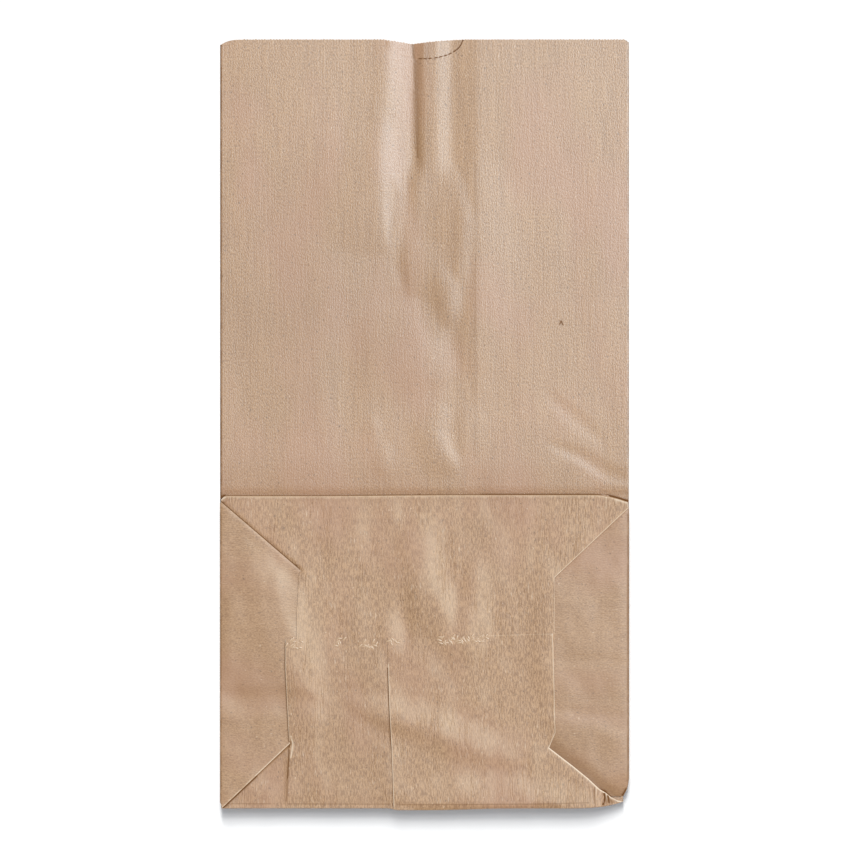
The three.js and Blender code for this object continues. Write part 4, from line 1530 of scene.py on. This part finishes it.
@dataclass(frozen=True)
class KraftFinish:
    """Unbleached kraft paper: colours are linear, heights are millimetres."""

    pale: Colour = (0.545, 0.334, 0.178)
    deep: Colour = (0.348, 0.194, 0.096)
    blush: Colour = (0.47, 0.252, 0.15)
    fleck: Colour = (0.20, 0.115, 0.062)
    # Pale fibre specks, and painted highlights, with some wear, on fold rims and edges
    worn: Colour = (0.88, 0.71, 0.53)
    # Painted highlight on the flanks of swells that lean towards the light
    flank_highlight: Colour = (0.66, 0.48, 0.3)
    # Painted soft shade beside folds and mitres and on flanks that lean away from the light
    soft_shade: Colour = (0.25, 0.114, 0.03)
    # Painted shade in crevices, gaps and creases
    crevice_shade: Colour = (0.15, 0.053, 0.004)
    roughness: float = 0.38
    duller_across: float = 0.1
    duller_handled: float = 0.12
    specular: float = 0.8
    specular_tint: Colour = (0.8, 0.93, 1.0)
    relief: float = 0.09

    def material(self) -> bpy.types.Material:
        """Builds the paper's material.

        Returns:
            A node material whose ribs follow the sheet's own map.
        """
        made = bpy.data.materials.new("kraft_paper")
        made.use_nodes = True
        desk = NodeDesk(made.node_tree)

        def carried(name: str) -> bpy.types.NodeSocket:
            """Value that the sheet carries as an attribute."""
            return desk.node("ShaderNodeAttribute", attribute_name=name).outputs["Fac"]

        ribs = desk.node("ShaderNodeUVMap", uv_map="ribs").outputs["UV"]
        ribbed, handled = carried("ribbed"), carried("handled")
        over = {"Vector": ribs, "Ribbed": ribbed, "Handled": handled}
        grain = desk.node("ShaderNodeGroup", over, node_tree=paper_grain()).outputs
        wear_and_highlight, shade = (
            desk.node("ShaderNodeGroup", {"Strength": carried(name)}, node_tree=edge_mask()).outputs
            for name in ("fold_wear_and_highlight", "crevice_shade")
        )
        # Blush, flecks and specks are the paper's own; the other layers are painted highlights, partly wear,
        # and painted shade
        layers = (
            (self.blush, grain["Blush"], 0.5),
            (self.fleck, grain["Fleck"], 0.7),
            (self.worn, grain["Spark"], 0.4),
            (self.flank_highlight, wear_and_highlight["Faint"], 0.36),
            (self.worn, wear_and_highlight["Crisp"], 0.85),
            (self.soft_shade, shade["Faint"], 0.75),
            (self.crevice_shade, shade["Crisp"], 0.95),
        )
        colour = desk.mix((*self.deep, 1.0), (*self.pale, 1.0), grain["Tone"])
        for laid, mask, amount in layers:
            colour = desk.mix(colour, (*laid, 1.0), desk.sum("MULTIPLY", mask, amount))
        duller = {"Value": ribbed, "To Min": self.roughness + self.duller_across, "To Max": self.roughness}
        plain = desk.node("ShaderNodeMapRange", duller).outputs["Result"]
        rough = desk.sum("MULTIPLY_ADD", handled, self.duller_handled, plain)
        raised = {"Strength": 1.0, "Distance": self.relief * MM, "Height": grain["Height"]}
        looks = {
            "Base Color": colour,
            "Specular IOR Level": self.specular,
            "Specular Tint": (*self.specular_tint, 1.0),
            "Roughness": desk.mix(rough, 1.0, shade["Crisp"], "FLOAT"),
            "Normal": desk.node("ShaderNodeBump", raised).outputs["Normal"],
        }
        shader = made.node_tree.nodes["Principled BSDF"]
        for name, value in looks.items():
            desk.feed(shader.inputs[name], value)
        return made


def edge_mask() -> bpy.types.NodeTree:
    """Shader group that turns a line's strength into a faint mask up to 0.3 and a crisp one above it."""
    known = bpy.data.node_groups.get("edge_mask")
    if known:
        return known
    desk = NodeDesk(bpy.data.node_groups.new("edge_mask", "ShaderNodeTree"))
    desk.sockets("INPUT", {"Strength": "Float"})
    desk.sockets("OUTPUT", {"Faint": "Float", "Crisp": "Float"})
    strength = desk.node("NodeGroupInput").outputs["Strength"]
    faint_end, crisp_end = 0.3, 0.7
    faint, crisp = desk.between(strength, 0.0, faint_end), desk.between(strength, faint_end, crisp_end)
    desk.node("NodeGroupOutput", {"Faint": faint, "Crisp": crisp})
    return desk.tree


def paper_grain() -> bpy.types.NodeTree:
    """Shader group for the ribs, mottling, flecks and fine creases of machine-made paper.

    Returns:
        A group that puts out tone, blush, dark and bright specks and height over the surface.
    """
    desk = NodeDesk(bpy.data.node_groups.new("paper_grain", "ShaderNodeTree"))
    desk.sockets("INPUT", {"Vector": "Vector", "Ribbed": "Float", "Handled": "Float"})
    desk.sockets("OUTPUT", dict.fromkeys(("Tone", "Blush", "Fleck", "Spark", "Height"), "Float"))
    given = desk.node("NodeGroupInput").outputs
    ribbed, handled = given["Ribbed"], given["Handled"]

    def noise(scale: Plan, detail: float = 1.0, roughness: float = 0.5) -> bpy.types.NodeSocket:
        """Noise stretched over the ribs' map; scale is cells per metre across and along them."""
        cells = {0: given["Vector"], 1: (*scale, 1.0)}
        place = desk.node("ShaderNodeVectorMath", cells, operation="MULTIPLY").outputs["Vector"]
        inputs = {"Vector": place, "Scale": 1.0, "Detail": detail, "Roughness": roughness}
        return desk.node("ShaderNodeTexNoise", inputs, noise_dimensions="2D").outputs["Fac"]

    def around_zero(value: bpy.types.NodeSocket, share: bpy.types.NodeSocket) -> bpy.types.NodeSocket:
        """Noise from minus to plus a half, times a share."""
        return desk.sum("MULTIPLY", desk.sum("SUBTRACT", value, 0.5), share)

    def weighed(start: float, *parts: tuple[bpy.types.NodeSocket, float]) -> bpy.types.NodeSocket:
        """Sum of values times their weights, from a start."""
        total = start
        for value, weight in parts:
            total = desk.sum("MULTIPLY_ADD", value, weight, total)
        return total

    ribs = around_zero(noise((1000.0, 45.0), 3.0, 0.6), ribbed)
    streaks = noise((240.0, 12.0), 2.0)
    cloud = noise((45.0, 28.0), 3.0)
    fibres = around_zero(noise((1950.0, 880.0), 2.0, 0.65), desk.sum("MULTIPLY_ADD", ribbed, 0.35, 0.65))
    strands = around_zero(noise((1950.0, 310.0)), handled)
    bend = desk.sum("ABSOLUTE", desk.sum("SUBTRACT", noise((330.0, 26.0), 2.0, 0.55), 0.5))
    creased = desk.sum("MULTIPLY", desk.between(noise((70.0, 35.0)), 0.45, 0.6), handled)
    creases = desk.sum("MULTIPLY", desk.between(bend, 0.03, 0.0), creased)
    stroked = desk.sum("MULTIPLY", desk.between(noise((60.0, 40.0)), 0.42, 0.62), handled)
    strokes = desk.sum("MULTIPLY", desk.between(noise((1100.0, 210.0)), 0.64, 0.84), stroked)
    specks = desk.between(noise((640.0, 400.0)), 0.2, 0.15)
    desk.node("NodeGroupOutput", {
        "Tone": weighed(
            0.11, (ribs, 1.0), (streaks, 0.4), (cloud, 0.4), (fibres, 3.3), (strands, 4.6), (creases, -0.2),
        ),
        "Blush": desk.between(noise((24.0, 13.0), 2.0), 0.45, 0.68),
        "Fleck": desk.between(noise((700.0, 480.0)), 0.74, 0.8),
        "Spark": desk.sum("MAXIMUM", specks, strokes),
        "Height": weighed(0.0, (ribs, 0.45), (fibres, 0.9), (cloud, 0.9), (creases, -0.9), (strokes, 0.6)),
    })
    return desk.tree


@dataclass(frozen=True)
class Lamp:
    """Far soft light: angles in degrees, azimuth from +X towards +Y, power in watts per square metre."""

    name: str
    azimuth: float
    elevation: float
    spread: float
    power: float
    colour: Colour = (1.0, 1.0, 1.0)

    def build(self, lit: bpy.types.Collection) -> None:
        """Makes the light, which lights one collection alone."""
        data = bpy.data.lights.new(self.name, "SUN")
        data.energy = self.power
        data.angle = math.radians(self.spread)
        data.color = self.colour
        lamp = bpy.data.objects.new(self.name, data)
        around, up = math.radians(self.azimuth), math.radians(self.elevation)
        flat = math.cos(up)
        towards = Vector((flat * math.cos(around), flat * math.sin(around), math.sin(up)))
        lamp.rotation_mode = "QUATERNION"
        lamp.rotation_quaternion = towards.to_track_quat("Z", "Y")
        bpy.context.scene.collection.objects.link(lamp)
        lamp.light_linking.receiver_collection = lit


@dataclass(frozen=True)
class Studio:
    """Pale floor, soft light and the camera that looks straight down."""

    image_pixels: int = 850
    pixel_size: float = 0.5124
    focus_height: float = 3.0
    camera_height: float = 2400.0
    camera_place: Plan = (0.256, -0.51)
    sensor: float = 36.0
    floor_size: float = 8.0
    floor_albedo: float = 0.92
    ambient: float = 0.28
    sky: Colour = (0.985, 0.992, 1.0)

    # The bag is lit from the upper right
    bag_lamps: tuple[Lamp, ...] = (
        Lamp("upper_right", 28.0, 70.0, 13.0, 2.5),
        Lamp("low_right", 15.0, 16.0, 12.0, 0.5),
    )

    # The floor is lit from beyond the mouth, by a tall light in three parts, and from straight above
    floor_lamps: tuple[Lamp, ...] = (
        Lamp("mouth_high", 92.0, 60.0, 20.0, 0.6, (1.0, 0.99, 0.97)),
        Lamp("mouth_middle", 92.0, 43.0, 18.0, 1.62, (1.0, 0.99, 0.97)),
        Lamp("mouth_low", 92.0, 30.0, 13.0, 1.64, (1.0, 0.99, 0.97)),
        Lamp("floor_fill", 0.0, 90.0, 5.0, 0.48, (0.72, 0.84, 1.0)),
    )

    def build_camera(self) -> None:
        """Makes the camera of the photo's view."""
        data = bpy.data.cameras.new("camera")
        data.sensor_width = self.sensor
        seen = self.image_pixels * self.pixel_size
        data.lens = self.sensor * (self.camera_height - self.focus_height) / seen
        camera = bpy.data.objects.new("camera", data)
        camera.location = (self.camera_place[0] * MM, self.camera_place[1] * MM, self.camera_height * MM)
        bpy.context.scene.collection.objects.link(camera)
        bpy.context.scene.camera = camera

    def build_floor(self) -> bpy.types.Object:
        """Makes the pale floor."""
        half = self.floor_size / 2
        corners = [(-half, -half, 0), (half, -half, 0), (half, half, 0), (-half, half, 0)]
        mesh = bpy.data.meshes.new("floor")
        mesh.from_pydata(corners, [], [(0, 1, 2, 3)])
        floor = bpy.data.objects.new("floor", mesh)
        bpy.context.scene.collection.objects.link(floor)
        paint = bpy.data.materials.new("floor")
        paint.use_nodes = True
        shader = paint.node_tree.nodes["Principled BSDF"]
        shader.inputs["Base Color"].default_value = (*[self.floor_albedo] * 3, 1.0)
        shader.inputs["Roughness"].default_value = 1.0
        shader.inputs["Specular IOR Level"].default_value = 0.0
        mesh.materials.append(paint)
        return floor

    def build_lights(self, bag: bpy.types.Object, floor: bpy.types.Object) -> None:
        """Lights the bag and the floor, each with its own lamps."""
        world = bpy.data.worlds.new("world")
        world.use_nodes = True
        sky = world.node_tree.nodes["Background"].inputs
        sky["Color"].default_value = (*self.sky, 1.0)
        sky["Strength"].default_value = self.ambient
        bpy.context.scene.world = world
        for name, thing, lamps in (("lit_bag", bag, self.bag_lamps), ("lit_floor", floor, self.floor_lamps)):
            lit = bpy.data.collections.new(name)
            lit.objects.link(thing)
            for lamp in lamps:
                lamp.build(lit)


def main() -> None:
    """Builds the bag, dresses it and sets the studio."""
    logging.basicConfig(level=logging.INFO, format="%(name)s: %(message)s")
    low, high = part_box(NODE)
    bag = GroceryBag(width=(high.x - low.x) / MM, length=(high.y - low.y) / MM)
    sheet = bag.build()
    paper = KraftFinish().material()
    sheet.data.materials.append(paper)
    bits = [CRINKLES.build(bag.crinkle_lines(), paper), TEETH.build(bag.tooth_lines(), paper)]
    for piece in (sheet, *bits):
        piece.data.calc_loop_triangles()
        log.info("%s: %d triangles", piece.name, len(piece.data.loop_triangles))
    join(sheet, bits)
    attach(sheet, "root")
    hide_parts(NODE)
    log.info("%s: one piece of folded paper", sheet.name)

    studio = Studio()
    studio.build_camera()
    floor = studio.build_floor()
    studio.build_lights(sheet, floor)
    bpy.context.scene.view_settings.view_transform = "Standard"


if __name__ == "__main__":
    main()
